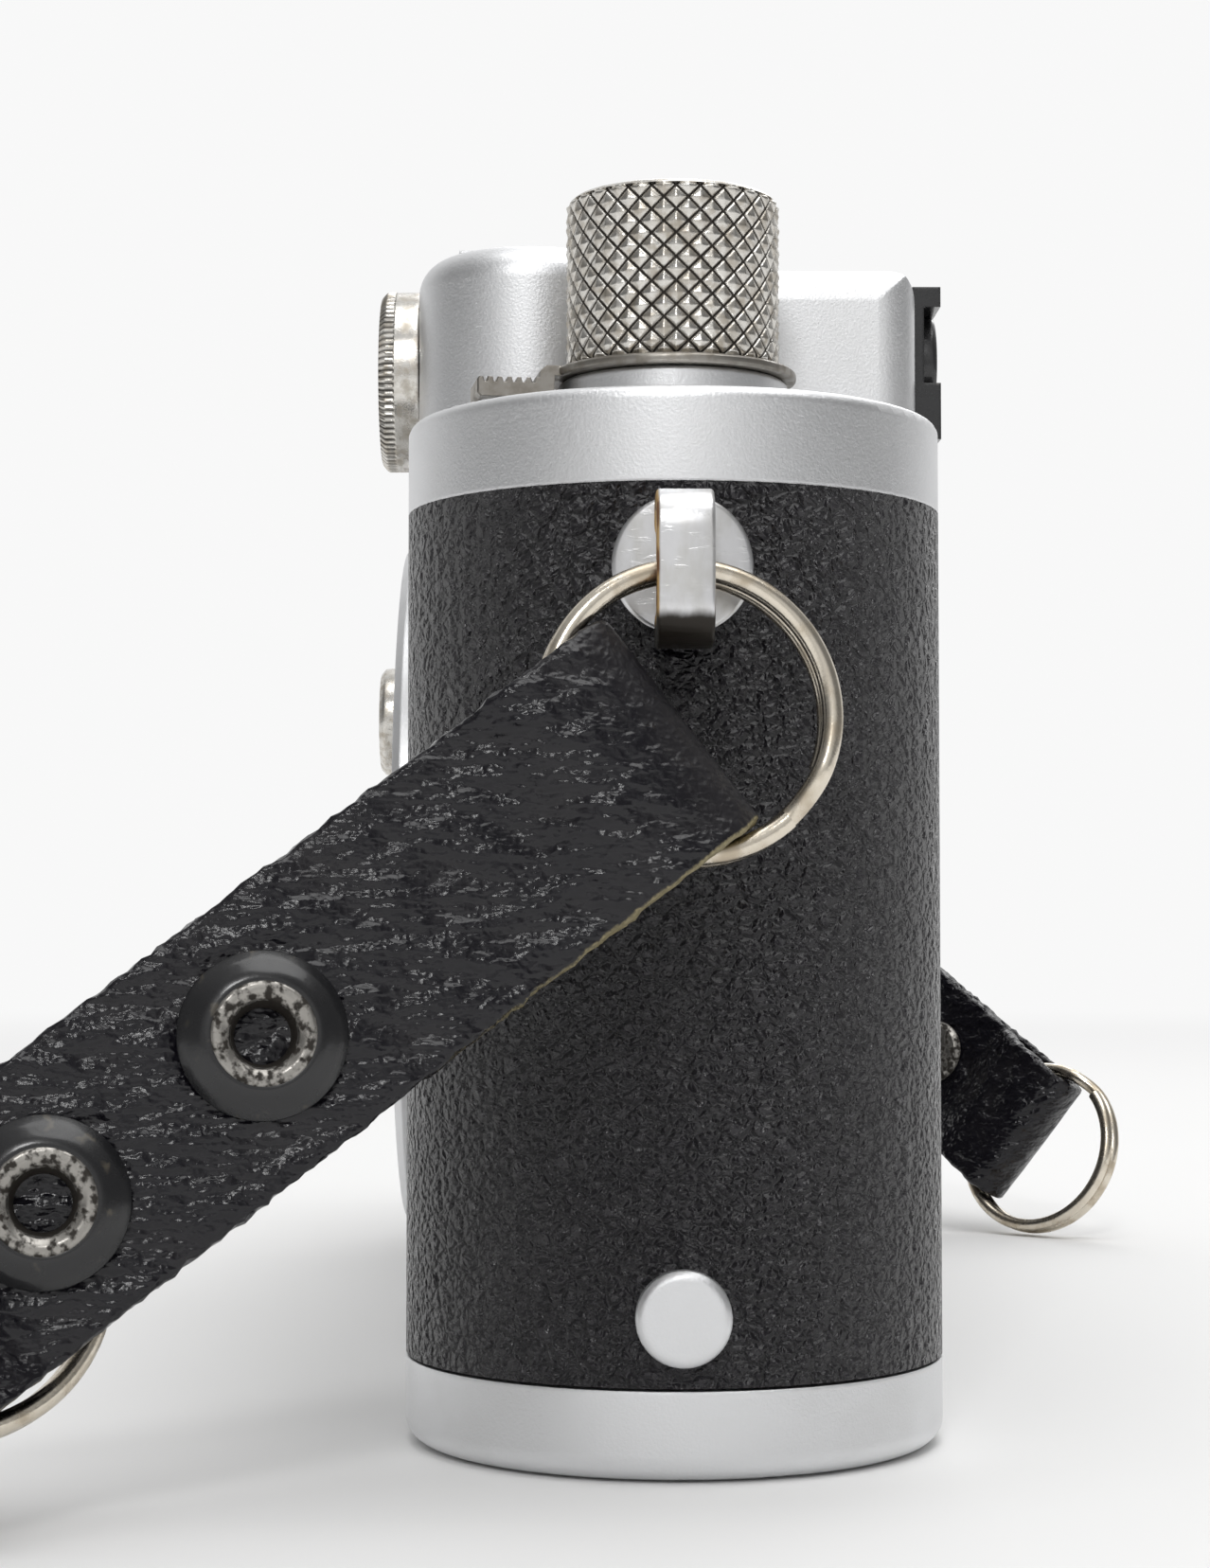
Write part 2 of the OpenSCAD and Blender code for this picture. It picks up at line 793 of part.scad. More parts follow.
module advance_shaft() {
    color(bright_steel)
        z_rod([advance_x, 0, spool_low], shaft_d / 2, advance_z + advance_h - knob_cap - spool_low);
}

module take_up_spool() {
    low = spool_low + 0.5;
    high = cover_z - 2;
    flange_r = 2 * big_r - sprocket_d / 2 - 0.7;
    color(black_enamel)
        difference() {
            union() {
                z_rod([advance_x, 0, low], spool_d / 2, high - low);
                z_rod([advance_x, 0, low], flange_r, 1.4);
                z_rod([advance_x, 0, high - 1.4], flange_r, 1.4);
            }
            z_rod([advance_x, 0, low - 1], shaft_d / 2 + 0.01, high);
            translate([advance_x + spool_d / 2 - 1, -3, low + 8])
                cube([3, 6, high - low - 16]);
        }
}

module advance_gear() {
    heading = atan2(sprocket_y, sprocket_x - advance_x);
    color(brass)
        gear([advance_x, 0, gear_z], big_teeth, gear_t, shaft_d / 2 + 0.01, heading);
}

// Toothed roller that moves the film, with its own shaft
module film_sprocket() {
    tooth_rows = [lens_z - gate_h / 2 - 3.5, lens_z + gate_h / 2 + 3.5];
    color(bright_steel)
        translate([sprocket_x, sprocket_y, 0]) {
            z_rod([0, 0, crate_low + 0.1], pinion_r, gear_z + gear_t - crate_low);
            for (z = tooth_rows)
                z_rod([0, 0, z - 2.2], sprocket_d / 2, 4.4);
            z_rod([0, 0, lens_z - gate_h / 2 - 4], sprocket_d / 2 - 1.5, gate_h + 8);
        }
}

module sprocket_gear() {
    heading = atan2(sprocket_y, sprocket_x - advance_x);
    half_tooth = 180 / big_teeth;
    color(brass)
        gear([sprocket_x, sprocket_y, gear_z], big_teeth, gear_t, pinion_r + 0.01,
            heading + 180 + half_tooth);
}

// ------------------------------------------------------------ top controls

module release_collar() {
    color(bright_steel)
        difference() {
            turned([sprocket_x, sprocket_y, top_z], [[collar_r, 0], [collar_r, 1], [collar_r - 0.5, 1.2],
                [collar_r - 0.5, collar_h]]);
            z_rod([sprocket_x, sprocket_y, top_z + 0.5], button_r + 0.1, collar_h);
            z_rod([sprocket_x, sprocket_y, top_z - 1], stem_r + running, 3);
        }
}

module release_button() {
    color(bright_steel)
        turned([sprocket_x, sprocket_y, button_z], [[stem_r, -2], [stem_r, 0], [button_r, 0],
            [button_r, 1.7], [button_r - 0.5, 2.1]]);
}

// Compression spring under the button, swept from round wire
module release_spring() {
    wire = 0.18;
    turns = 3;
    mean_r = 1.85;
    low = top_z + 0.5 + wire + 0.02;
    high = button_z - wire - 0.02;
    steps = 20 * turns;
    sides = 6;
    points = [for (i = [0:steps], j = [0:sides - 1])
        let(a = i * 360 / 20, b = j * 360 / sides, r = mean_r + wire * cos(b))
            [r * cos(a), r * sin(a), low + (high - low) * i / steps + wire * sin(b)]];
    sides_faces = [for (i = [0:steps - 1], j = [0:sides - 1])
        let(k = (j + 1) % sides)
            [i * sides + j, (i + 1) * sides + j, (i + 1) * sides + k, i * sides + k]];
    first_cap = [for (j = [0:sides - 1]) j];
    last_cap = [for (j = [sides - 1:-1:0]) steps * sides + j];
    color(bright_steel)
        translate([sprocket_x, sprocket_y, 0])
            polyhedron(points, concat(sides_faces, [first_cap, last_cap]));
}

module reverse_lever() {
    color(bright_steel)
        translate([reverse_x, reverse_y, 0]) {
            z_rod([0, 0, roof_z - 0.3], 1, sheet_t + 1);
            z_rod([0, 0, top_z + 0.1], 2.4, 1.1);
            translate([-7.5, -1, top_z + 0.1])
                cube([7.5, 2, 1.1]);
            z_rod([-7.5, 0, top_z + 0.1], 1.6, 2.6);
        }
}

// ------------------------------------------------------- inside the camera

module shutter_crate() {
    wall = chassis_t;
    shelf_x0 = sprocket_x - 5.5;
    shelf_x1 = roller_x2 + 4.5;
    slot_half = curtain_h / 2 + 0.6;
    shelf_front = drum_y - drum_d / 2 - 3.7;
    roller_shelf = roller_y - roller_r - 2.1;
    ear_d = 1.8;
    color(dark_alloy)
        difference() {
            union() {
                translate([-crate_half, crate_front, crate_low])
                    cube([2 * crate_half, crate_back - crate_front, crate_top - crate_low]);
                translate([shelf_x0, shelf_front, crate_low])
                    cube([shelf_x1 - shelf_x0, crate_back - shelf_front, crate_shelf]);
                translate([roller_x1 - 4, roller_shelf, crate_top - crate_shelf])
                    cube([shelf_x1 - roller_x1 + 4, crate_back - roller_shelf, crate_shelf]);
                for (x = [crate_half - wall, shelf_x1 - wall])
                    translate([x, crate_back - ear_d, crate_low])
                        cube([wall, ear_d, crate_top - crate_low]);
            }
            translate([-crate_half + wall, crate_front + wall, crate_low + wall])
                cube([2 * crate_half - 2 * wall, crate_back - crate_front - 2 * wall,
                    crate_top - crate_low - 2 * wall]);
            y_rod([0, crate_front - 1, lens_z], thread_d / 2 - 0.6, 4);
            translate([-gate_w / 2, crate_back - 3, lens_z - gate_h / 2])
                cube([gate_w, 6, gate_h]);
            translate([-crate_half - 1, curtain_y - 0.75, lens_z - slot_half])
                cube([2 * crate_half + 2, 2.7, 2 * slot_half]);
            arm_slot(crate_top - 3);
            z_rod([sprocket_x, sprocket_y, crate_low - 1], pinion_r + running, 4);
            z_rod([drum_x, drum_y, crate_low - 1], shaft_d / 2 + running, 4);
            for (x = [roller_x1, roller_x2], z = [crate_low - 1, crate_top - 3])
                z_rod([x, roller_y, z], 1 + running, 5);
        }
}

// Drum that both curtains wind onto, with the shaft that carries the speed dial
module curtain_drum() {
    low = crate_low + crate_shelf + 0.3;
    color(dark_alloy) {
        z_rod([drum_x, drum_y, crate_low], shaft_d / 2, speed_z + speed_h - 2.2 - crate_low);
        z_rod([drum_x, drum_y, low], drum_d / 2, cover_z - 0.4 - low);
    }
}

module drum_gear() {
    heading = atan2(drum_y - sprocket_y, drum_x - sprocket_x);
    half_tooth = 180 / small_teeth;
    sprocket_phase = atan2(sprocket_y, sprocket_x - advance_x) + 180 + 180 / big_teeth;
    big_step = 360 / big_teeth;
    steps_to_line = (heading - sprocket_phase) / big_step;
    off = (steps_to_line - floor(steps_to_line)) * big_step;
    color(brass)
        gear([drum_x, drum_y, gear_z], small_teeth, gear_t, shaft_d / 2 + 0.01,
            heading + 180 + half_tooth + off * big_teeth / small_teeth);
}

module curtain(x0, x1, y) {
    translate([x0, y, lens_z - curtain_h / 2])
        cube([x1 - x0, curtain_t, curtain_h]);
}

// The two cloth curtains, the slit between them standing at one end of the gate
module shutter_curtains() {
    color(shutter_cloth) {
        curtain(gate_w / 2 - 6, roller_x1, curtain_y - 0.05);
        curtain(drum_x, gate_w / 2 - 3, curtain_y + 0.9);
    }
}

module curtain_roller(x) {
    color(bright_steel) {
        z_rod([x, roller_y, crate_low], 1, crate_top - crate_low);
        z_rod([x, roller_y, crate_low + crate_shelf + 0.3], roller_r,
            crate_top - crate_low - 2 * crate_shelf - 0.6);
    }
}

module first_curtain_roller() {
    curtain_roller(roller_x1);
}

module second_curtain_roller() {
    curtain_roller(roller_x2);
}

module pressure_plate() {
    color(dark_alloy)
        translate([-gate_w / 2 - 3, film_y + 0.15, lens_z - gate_h / 2 - 5]) {
            cube([gate_w + 6, 0.8, gate_h + 10]);
            for (x = [8, gate_w - 6])
                translate([x, 0.8, 8])
                    cube([4, inner_r - film_y - 1, gate_h - 6]);
        }
}

// Follower arm that the lens pushes, pivoted beside the lens axis
module rangefinder_arm() {
    arm_z = top_z + 1.4;
    arm_y = -end_r + 5;
    pivot_x = 12;
    color(brass) {
        z_rod([pivot_x, arm_y, top_z + 0.1], 1.6, 2.8);
        translate([0, arm_y - 1, arm_z])
            cube([pivot_x, 2, 1.2]);
        z_rod([0, arm_y, lens_z + thread_d / 2 - 4], 1, arm_z + 1.2 - lens_z - thread_d / 2 + 4);
        z_rod([0, arm_y, lens_z + thread_d / 2 - 5.5], 1.8, 2.4);
    }
}

module rangefinder_mirror() {
    color(clear_glass)
        translate([rf_x - rf_base, bar_front + 7.4, window_z])
            rotate([0, 0, 45]) {
                translate([-4, -0.5, -4])
                    cube([8, 1, 8]);
                z_rod([0, 0, top_z - window_z + 0.1], 1.2, window_z - top_z - 4);
            }
}

// ---------------------------------------------------------------- base plate

module base_plate() {
    color(satin_chrome)
        difference() {
            union() {
                difference() {
                    body_slab(0, base_h, 0, 1.3);
                    translate([0, 0, sheet_t])
                        body_slab(sheet_t, base_h);
                }
                z_rod([key_x, 0, 0.5], key_r + 1.4, key_recess + key_t + 1.2);
                translate([tongue_x, -4, sheet_t - 0.2])
                    cube([tongue_t, 8, stud_z + 4.4 - sheet_t]);
            }
            z_rod([key_x, 0, -1], key_r + slip, key_recess + key_t + 1.1);
            z_rod([key_x, 0, -1], 2.5 + running, 10);
            z_rod([bush_x, 0, -1], bush_r + 0.01, 6);
            translate([tongue_x - 1, -1.6, stud_z - stud_neck_r - 0.15])
                cube([tongue_t + 2, 3.2, 2 * stud_neck_r + 2]);
        }
}

module base_lock_key() {
    pin_z = key_recess + bail_t / 2;
    color(satin_chrome)
        difference() {
            union() {
                z_rod([key_x, 0, key_recess - 0.1], key_r, key_t);
                z_rod([key_x, 0, key_recess], 2.5, 5);
            }
            intersection() {
                difference() {
                    z_rod([key_x, 0, -1], bail_r + bail_w / 2 + slip, 3);
                    z_rod([key_x, 0, -2], bail_r - bail_w / 2 - slip, 5);
                }
                translate([key_x - 20, -0.9, -3])
                    cube([40, 40, 8]);
            }
            for (s = [-1, 1])
                translate([key_x + s * bail_r, 0, pin_z])
                    rotate([0, s * 90, 0])
                        cylinder(h = 1.6, r = 0.3 + running);
        }
}

module base_key_bail() {
    pin_z = key_recess + bail_t / 2;
    color(satin_chrome) {
        intersection() {
            difference() {
                z_rod([key_x, 0, pin_z - bail_t / 2], bail_r + bail_w / 2, bail_t);
                z_rod([key_x, 0, -1], bail_r - bail_w / 2, 4);
            }
            translate([key_x - 20, 0, -1])
                cube([40, 40, 4]);
        }
        for (s = [-1, 1]) {
            translate([key_x + s * bail_r - bail_w / 2 * s, 0, pin_z])
                rotate([0, s * 90, 0])
                    cylinder(h = bail_w * 0.98, r = bail_t / 2);
            translate([key_x + s * bail_r, 0, pin_z])
                rotate([0, s * 90, 0])
                    cylinder(h = 1.4, r = 0.3);
        }
    }
}

module base_lock_cam() {
    color(bright_steel)
        translate([key_x, 0, 3.4])
            difference() {
                linear_extrude(1)
                    union() {
                        square([17, 5], center = true);
                        for (s = [-1, 1])
                            translate([s * 8.5, 0])
                                circle(2.5);
                    }
                translate([0, 0, -1])
                    cylinder(h = 3, r = 2.51);
            }
}

module tripod_bush() {
    color(bright_steel)
        difference() {
            union() {
                z_rod([bush_x, 0, 0], bush_r, bush_h);
                z_rod([bush_x, 0, sheet_t], bush_r + 1.5, 1);
            }
            z_rod([bush_x, 0, -1], tripod_r, bush_h);
        }
}

module base_stud() {
    color(satin_chrome)
        translate([0, 0, stud_z])
            rotate([0, 90, 0])
                difference() {
                    turned([0, 0, 0], [[stud_neck_r, tip_x - 5.8], [stud_neck_r, tip_x - 0.5],
                        [stud_r, tip_x - 0.5], [stud_r, tip_x + 0.6], [stud_r - 0.25, tip_x + 0.85]]);
                    difference() {
                        translate([-10, -10, tip_x - 0.6])
                            cube([20, 20, 0.7]);
                        translate([0, 0, tip_x - 1])
                            cylinder(h = 3, r = stud_neck_r);
                        translate([-20, 0, end_x])
                            rotate([0, 90, 0])
                                difference() {
                                    cylinder(h = 40, r = end_r + 4);
                                    translate([0, 0, -1])
                                        cylinder(h = 42, r = end_r + 0.02);
                                }
                    }
                }
}

// -------------------------------------------------------------- strap lugs

// Lug at the +X end: saddle plate, arched strip and the post through the wall
module strap_lug() {
    depth = lug_clear + 2 * lug_strip;
    mid_x = lug_face - lug_strip + depth / 2;
    color(bright_steel) {
        difference() {
            translate([tip_x - 1, 0, lug_z])
                rotate([0, 90, 0])
                    cylinder(h = lug_plate_t + 1, r = lug_plate_r);
            z_rod([end_x, 0, lug_z - 10], end_r + 0.02, 20);
        }
        translate([tip_x - 2.9, 0, lug_z])
            rotate([0, 90, 0])
                cylinder(h = 3.2, r = lug_post_r);
        translate([mid_x, 0, lug_z - 0.5])
            rotate([90, 0, 0])
                linear_extrude(lug_w, center = true)
                    difference() {
                        round_box(depth, lug_h, 2.1);
                        round_box(depth - 2 * lug_strip, lug_h - 2 * lug_strip, 1.2);
                    }
    }
}

module strap_lug_near() {
    strap_lug();
}

module strap_lug_far() {
    mirror([1, 0, 0])
        strap_lug();
}

// ------------------------------------------------------ rings and leather tabs

// Two touching turns of wire, as one closed form about Z
module split_ring() {
    color(warm_nickel)
        rotate_extrude()
            for (s = [-1, 1])
                translate([ring_r, s * wire_r * 0.95])
                    circle(wire_r, $fn = 32);
}

// Direction of a turned frame's Z axis
function turn_z(a) = [
    cos(a.z) * sin(a.y) * cos(a.x) + sin(a.z) * sin(a.x),
    sin(a.z) * sin(a.y) * cos(a.x) - cos(a.z) * sin(a.x),
    cos(a.y) * cos(a.x)];

// Centre of a ring that hangs through a lug in the plane of the turned frame
function ring_centre(side, a) =
    let(w = turn_z(a), d = [0, 0, -1] + w.z * w)
    [side * cross_x, 0, cross_z] + ring_r * d / norm(d);

near_centre = ring_centre(1, near_turn);
far_centre = ring_centre(-1, far_turn);

// Angle by which a tab has turned at a place along it; both ends stay straight
function turned_by(x, bend) = bend * min(max(x - bend_from, 0), bend_run) / bend_run;

// Point of a tab's section once its middle stretch is bent by an angle
function bent(p, bend) = bend == 0 ? p :
    let(a = turned_by(p.x, bend), k = bend * PI / 180 / bend_run,
        lead = min(p.x, bend_from), tail = max(p.x - bend_from - bend_run, 0))
    [lead + sin(a) / k + tail * cos(a) - p.y * sin(a), (1 - cos(a)) / k + tail * sin(a) + p.y * cos(a)];

// Half outline of a folded tab: heights above the middle line along its length
function tab_heights(in_a, in_b) =
    let(a = in_a + tab_leather, b = in_b + tab_leather, end = fold_gap + tab_len)
    concat(
        [for (t = [10:16:90]) [fold_gap + a - a * cos(t), a * sin(t)]],
        [[fold_gap + ring_r - 1.2, a], [fold_gap + flat_from, tab_leather]],
        [for (x = [fold_gap + flat_from + 3.4:3:end - flat_from - 3.4]) [x, tab_leather]],
        [[end - flat_from, tab_leather], [end - ring_r + 1.2, b]],
        [for (t = [90:-16:10]) [end - b + b * cos(t), b * sin(t)]]);

// Half outline of the pocket that a ring passes through
function pocket_heights(h, wall) = concat(
    [for (t = [0:18:90]) [wall + h - h * cos(t), h * sin(t)]],
    [[pocket_full, h], [pocket_end, 0.12]]);

function closed(heights, bend) = concat(
    [for (p = heights) bent(p, bend)],
    [for (i = [len(heights) - 1:-1:0]) bent([heights[i].x, -heights[i].y], bend)]);

module leather_tab(in_b, bend) {
    end = fold_gap + tab_len;
    pocket_a = [for (p = pocket_heights(pocket_in, tab_leather)) [fold_gap + p.x, max(p.y, 0.01)]];
    pocket_b = [for (p = pocket_heights(in_b, tab_leather)) [end - p.x, max(p.y, 0.01)]];
    color(black_leather)
        difference() {
            rotate([90, 0, 0])
                linear_extrude(tab_w, center = true)
                    difference() {
                        polygon(closed(tab_heights(pocket_in, in_b), bend));
                        polygon(closed(pocket_a, bend));
                        polygon(closed(pocket_b, bend));
                    }
            for (u = stud_place)
                stud_frame(u, bend)
                    translate([0, 0, -5])
                        cylinder(h = 10, r = 1.55);
        }
}

// Moves a press stud to its place along a bent tab
module stud_frame(u, bend) {
    p = bent([fold_gap + u, 0], bend);
    translate([p.x, 0, p.y])
        rotate([0, -turned_by(fold_gap + u, bend), 0])
            children();
}

// Press stud: domed cap with a sunk centre, post, and the rivet's back plate
module press_stud() {
    r = snap_d / 2;
    t = tab_leather + 0.18;
    turned([0, 0, 0], [[0.001, -t - 0.6], [2.6, -t - 0.6], [3, -t], [1.5, -t], [1.5, t], [r, t],
        [r, t + 0.25], [r - 1.2, t + 0.95], [r - 1.9, t + 1.25], [1.9, t + 1], [1.5, t - 0.4],
        [0.001, t - 0.4]]);
}

module tab_studs(bend) {
    color(black_enamel)
        for (u = stud_place)
            stud_frame(u, bend)
                press_stud();
}

module at_near() {
    translate(near_centre)
        rotate(near_turn)
            children();
}

module at_far() {
    translate(far_centre)
        rotate(far_turn)
            children();
}

module split_ring_near() {
    at_near()
        split_ring();
}

module split_ring_far() {
    at_far()
        split_ring();
}

module leather_tab_near() {
    at_near()
        leather_tab(pocket_wide, 0);
}

module leather_tab_far() {
    at_far()
        leather_tab(pocket_in, far_bend);
}

module tab_studs_near() {
    at_near()
        tab_studs(0);
}

module tab_studs_far() {
    at_far()
        mirror([0, 0, 1])
            tab_studs(-far_bend);
}

// The near end ring lies folded back behind its tab
module end_ring_near() {
    back = fold_gap + tab_len - end_ring_back;
    drop = (end_ring_back - 4) * tan(end_ring_tilt);
    at_near()
        translate([back, 0, -drop])
            rotate([0, -end_ring_tilt, 0])
                split_ring();
}

// The far end ring stands out in line with its tab
module end_ring_far() {
    p = bent([fold_gap + tab_len, 0], far_bend);
    at_far()
        translate([p.x, 0, p.y])
            rotate([0, -far_bend, 0])
                translate([fold_gap, 0, 0])
                    split_ring();
}

// ------------------------------------------------------------------ assembly

body_shell();
leather_covering();
top_cover();
chassis_plate();
rangefinder_housing();
base_plate();
base_lock_key();
base_key_bail();
base_lock_cam();
tripod_bush();
base_stud();
strap_lug_near();
strap_lug_far();
split_ring_near();
split_ring_far();
leather_tab_near();
leather_tab_far();
tab_studs_near();
tab_studs_far();
end_ring_near();
end_ring_far();
rewind_knob();
rewind_shaft();
rewind_sleeve();
rewind_boss();
focusing_lever();
advance_knob();
advance_shaft();
frame_counter_dial();
take_up_spool();
advance_gear();
film_sprocket();
sprocket_gear();
curtain_drum();
drum_gear();
speed_dial();
release_button();
release_collar();
release_spring();
reverse_lever();
accessory_shoe();
shoe_screws();
lens_flange();
flange_screws();
slow_speed_dial();
slow_dial_plate();
rf_bezels();
rf_window_glass();
viewfinder_frame();
viewfinder_glass();
eyepiece_block();
rf_eyepiece_lens();
focusing_eyepiece_lens();
shutter_crate();
shutter_curtains();
first_curtain_roller();
second_curtain_roller();
pressure_plate();
rangefinder_arm();
rangefinder_mirror();
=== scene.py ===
# A small rangefinder camera with a screw lens mount, seen from its rewind end, with two
# leather strap tabs on split rings.  Sections follow the camera as it is put together.
import json
import math
import random

import bmesh
import bpy
import numpy as np
from mathutils import Matrix, Vector, noise


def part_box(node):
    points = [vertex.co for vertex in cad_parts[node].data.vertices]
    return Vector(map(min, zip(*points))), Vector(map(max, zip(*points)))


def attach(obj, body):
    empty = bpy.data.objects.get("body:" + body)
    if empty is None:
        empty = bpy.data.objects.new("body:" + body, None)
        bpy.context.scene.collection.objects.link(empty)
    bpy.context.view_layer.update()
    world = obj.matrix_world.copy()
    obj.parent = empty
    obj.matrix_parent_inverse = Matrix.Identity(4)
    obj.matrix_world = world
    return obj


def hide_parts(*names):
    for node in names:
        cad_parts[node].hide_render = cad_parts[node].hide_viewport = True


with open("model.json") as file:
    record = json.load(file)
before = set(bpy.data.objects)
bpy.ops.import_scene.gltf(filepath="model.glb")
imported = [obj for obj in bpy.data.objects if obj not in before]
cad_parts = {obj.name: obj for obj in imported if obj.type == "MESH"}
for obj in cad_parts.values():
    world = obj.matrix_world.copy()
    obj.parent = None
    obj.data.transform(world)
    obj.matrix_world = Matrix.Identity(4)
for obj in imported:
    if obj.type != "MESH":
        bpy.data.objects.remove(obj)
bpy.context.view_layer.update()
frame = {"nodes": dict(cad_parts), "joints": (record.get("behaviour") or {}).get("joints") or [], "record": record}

mm = 0.001


# ---------------------------------------------------------------- viewpoint and studio
# The eye is a hand's length from the body's round end, level with its middle, and looks
# slightly upwards.  A broad lamp hangs overhead, a small one is in front and one behind.
scene = bpy.context.scene
scene.view_settings.view_transform = "Standard"
eye = bpy.data.objects.new("viewpoint", bpy.data.cameras.new("viewpoint"))
eye.data.sensor_fit = "VERTICAL"
eye.data.sensor_height = 36
eye.data.lens = 68.072
eye.data.clip_start = 0.01
eye_yaw = math.radians(0.644)
eye_pitch = math.radians(2.593)
gaze = Vector((-math.cos(eye_pitch) * math.cos(eye_yaw), math.sin(eye_yaw), math.sin(eye_pitch)))
eye.location = Vector((218.149, -5.65, 28.395)) * mm
eye.rotation_euler = gaze.to_track_quat("-Z", "Y").to_euler()
scene.collection.objects.link(eye)
scene.camera = eye


def lamp(name, place, size, power):
    """A square soft lamp that faces the middle of the camera."""
    light = bpy.data.objects.new(name, bpy.data.lights.new(name, "AREA"))
    light.data.size = size
    light.data.energy = power
    light.location = place
    aim = Vector((0.02, 0, 0.035)) - Vector(place)
    light.rotation_euler = aim.to_track_quat("-Z", "Y").to_euler()
    scene.collection.objects.link(light)


lamp("lamp_above", (0.1, 0.08, 0.6), 0.44, 1.5)
lamp("lamp_front", (0.5, -0.06, 0.36), 0.1, 0.65)
lamp("lamp_behind", (-0.42, 0.12, 0.4), 0.3, 0.6)


class Wire:
    """An output of a shader node.  Sums with it add the Math nodes that they stand for."""

    def __init__(self, finish, socket):
        self.finish = finish
        self.socket = socket

    def sum(self, operation, *values):
        return self.finish.node("ShaderNodeMath", {"operation": operation}, dict(enumerate(values)))

    def __add__(self, other):
        return self.sum("ADD", self, other)

    def __sub__(self, other):
        return self.sum("SUBTRACT", self, other)

    def __rsub__(self, other):
        return self.sum("SUBTRACT", other, self)

    def __mul__(self, other):
        return self.sum("MULTIPLY", self, other)

    def __neg__(self):
        return self.sum("MULTIPLY", self, -1)

    __radd__ = __add__
    __rmul__ = __mul__

    def steps(self, low, high):
        """0 below low, 1 above high and a soft step between them."""
        settings = {"interpolation_type": "SMOOTHSTEP"}
        sockets = {0: self, 1: low, 2: high}
        return self.finish.node("ShaderNodeMapRange", settings, sockets)


class Nodes:
    """A node tree, the shader at its end and the nodes that feed it."""

    def __init__(self, tree, shader):
        self.tree = tree
        self.shader = tree.nodes[shader]

    def join(self, socket, value):
        if isinstance(value, Wire):
            self.tree.links.new(value.socket, socket)
        elif socket.type == "RGBA":
            socket.default_value = (*value, 1)
        else:
            socket.default_value = value

    def node(self, kind, settings=None, sockets=None, out=0):
        """Adds a node, sets its settings, then its sockets, and gives one of its outputs."""
        made = self.tree.nodes.new(kind)
        for key, value in (settings or {}).items():
            setattr(made, key, value)
        for key, value in (sockets or {}).items():
            self.join(made.inputs[key], value)
        return Wire(self, made.outputs[out])

    def set(self, **values):
        """Sets or joins the shader's own sockets, with _ for a space."""
        for key, value in values.items():
            self.join(self.shader.inputs[key.replace("_", " ")], value)

    def part(self, vector, axis):
        """One of a vector's three parts."""
        return self.node("ShaderNodeSeparateXYZ", sockets={0: vector}, out=axis)

    def seen(self):
        """1 for what the eye sees directly, in metal or through glass, and 0 for other light."""
        ray = [self.node("ShaderNodeLightPath", out=f"Is {kind} Ray")
               for kind in ("Camera", "Glossy", "Transmission")]
        return ray[0].sum("MAXIMUM", ray[0], ray[1].sum("MAXIMUM", ray[1], ray[2]))


class Finish(Nodes):
    """A surface finish: its material and the patterns that vary over it."""

    def __init__(self, name, colour, metallic=0.0, roughness=0.5, **fixed):
        self.material = bpy.data.materials.new(name)
        self.material.use_nodes = True
        super().__init__(self.material.node_tree, "Principled BSDF")
        self.set(Base_Color=colour, Metallic=metallic, Roughness=roughness, **fixed)

    def place(self, stretch=(1, 1, 1)):
        """Where a point is on the piece, in metres, stretched along each axis."""
        spot = self.node("ShaderNodeTexCoord", out="Object")
        return self.node("ShaderNodeVectorMath", {"operation": "MULTIPLY"}, {0: spot, 1: stretch})

    def cloud(self, size, spot=None, detail=3.0, roughness=0.5):
        """Soft noise from 0 to 1 whose spots are about one size across, in metres."""
        sockets = {"Vector": spot or self.place(), "Scale": 1 / size, "Detail": detail,
                   "Roughness": roughness}
        return self.node("ShaderNodeTexNoise", {}, sockets)

    def cells(self, size, spot=None):
        """Cracked cells, as the distance to the nearest crack."""
        sockets = {"Vector": spot or self.place(), "Scale": 1 / size}
        return self.node("ShaderNodeTexVoronoi", {"feature": "DISTANCE_TO_EDGE"}, sockets)

    def bent_place(self, size, reach, stretch=(1, 1, 1)):
        """Where a point is, moved about by soft noise of a size and a reach in metres."""
        sway = self.node("ShaderNodeTexNoise", {}, {"Vector": self.place(), "Scale": 1 / size}, out=1)
        push = self.node("ShaderNodeVectorMath", {"operation": "SCALE"}, {0: sway, "Scale": reach})
        sockets = {0: self.place(stretch), 1: push}
        return self.node("ShaderNodeVectorMath", {"operation": "ADD"}, sockets)

    def mark(self, name):
        """A value that the mesh carries at each of its points."""
        return self.node("ShaderNodeAttribute", {"attribute_name": name}, out="Fac")

    def blend(self, factor, first, second):
        """One colour into another, as the factor goes from 0 to 1."""
        settings = {"data_type": "RGBA"}
        return self.node("ShaderNodeMix", settings, {0: factor, 6: first, 7: second}, out=2)

    def relief(self, height, depth, edge=0.0):
        """Raises the surface by a height from 0 to 1, over edges softened by a radius."""
        sockets = {"Height": height, "Distance": depth, "Strength": 1.0}
        if edge:
            sockets["Normal"] = self.node("ShaderNodeBevel", {"samples": 4}, {"Radius": edge})
        self.set(Normal=self.node("ShaderNodeBump", {}, sockets))


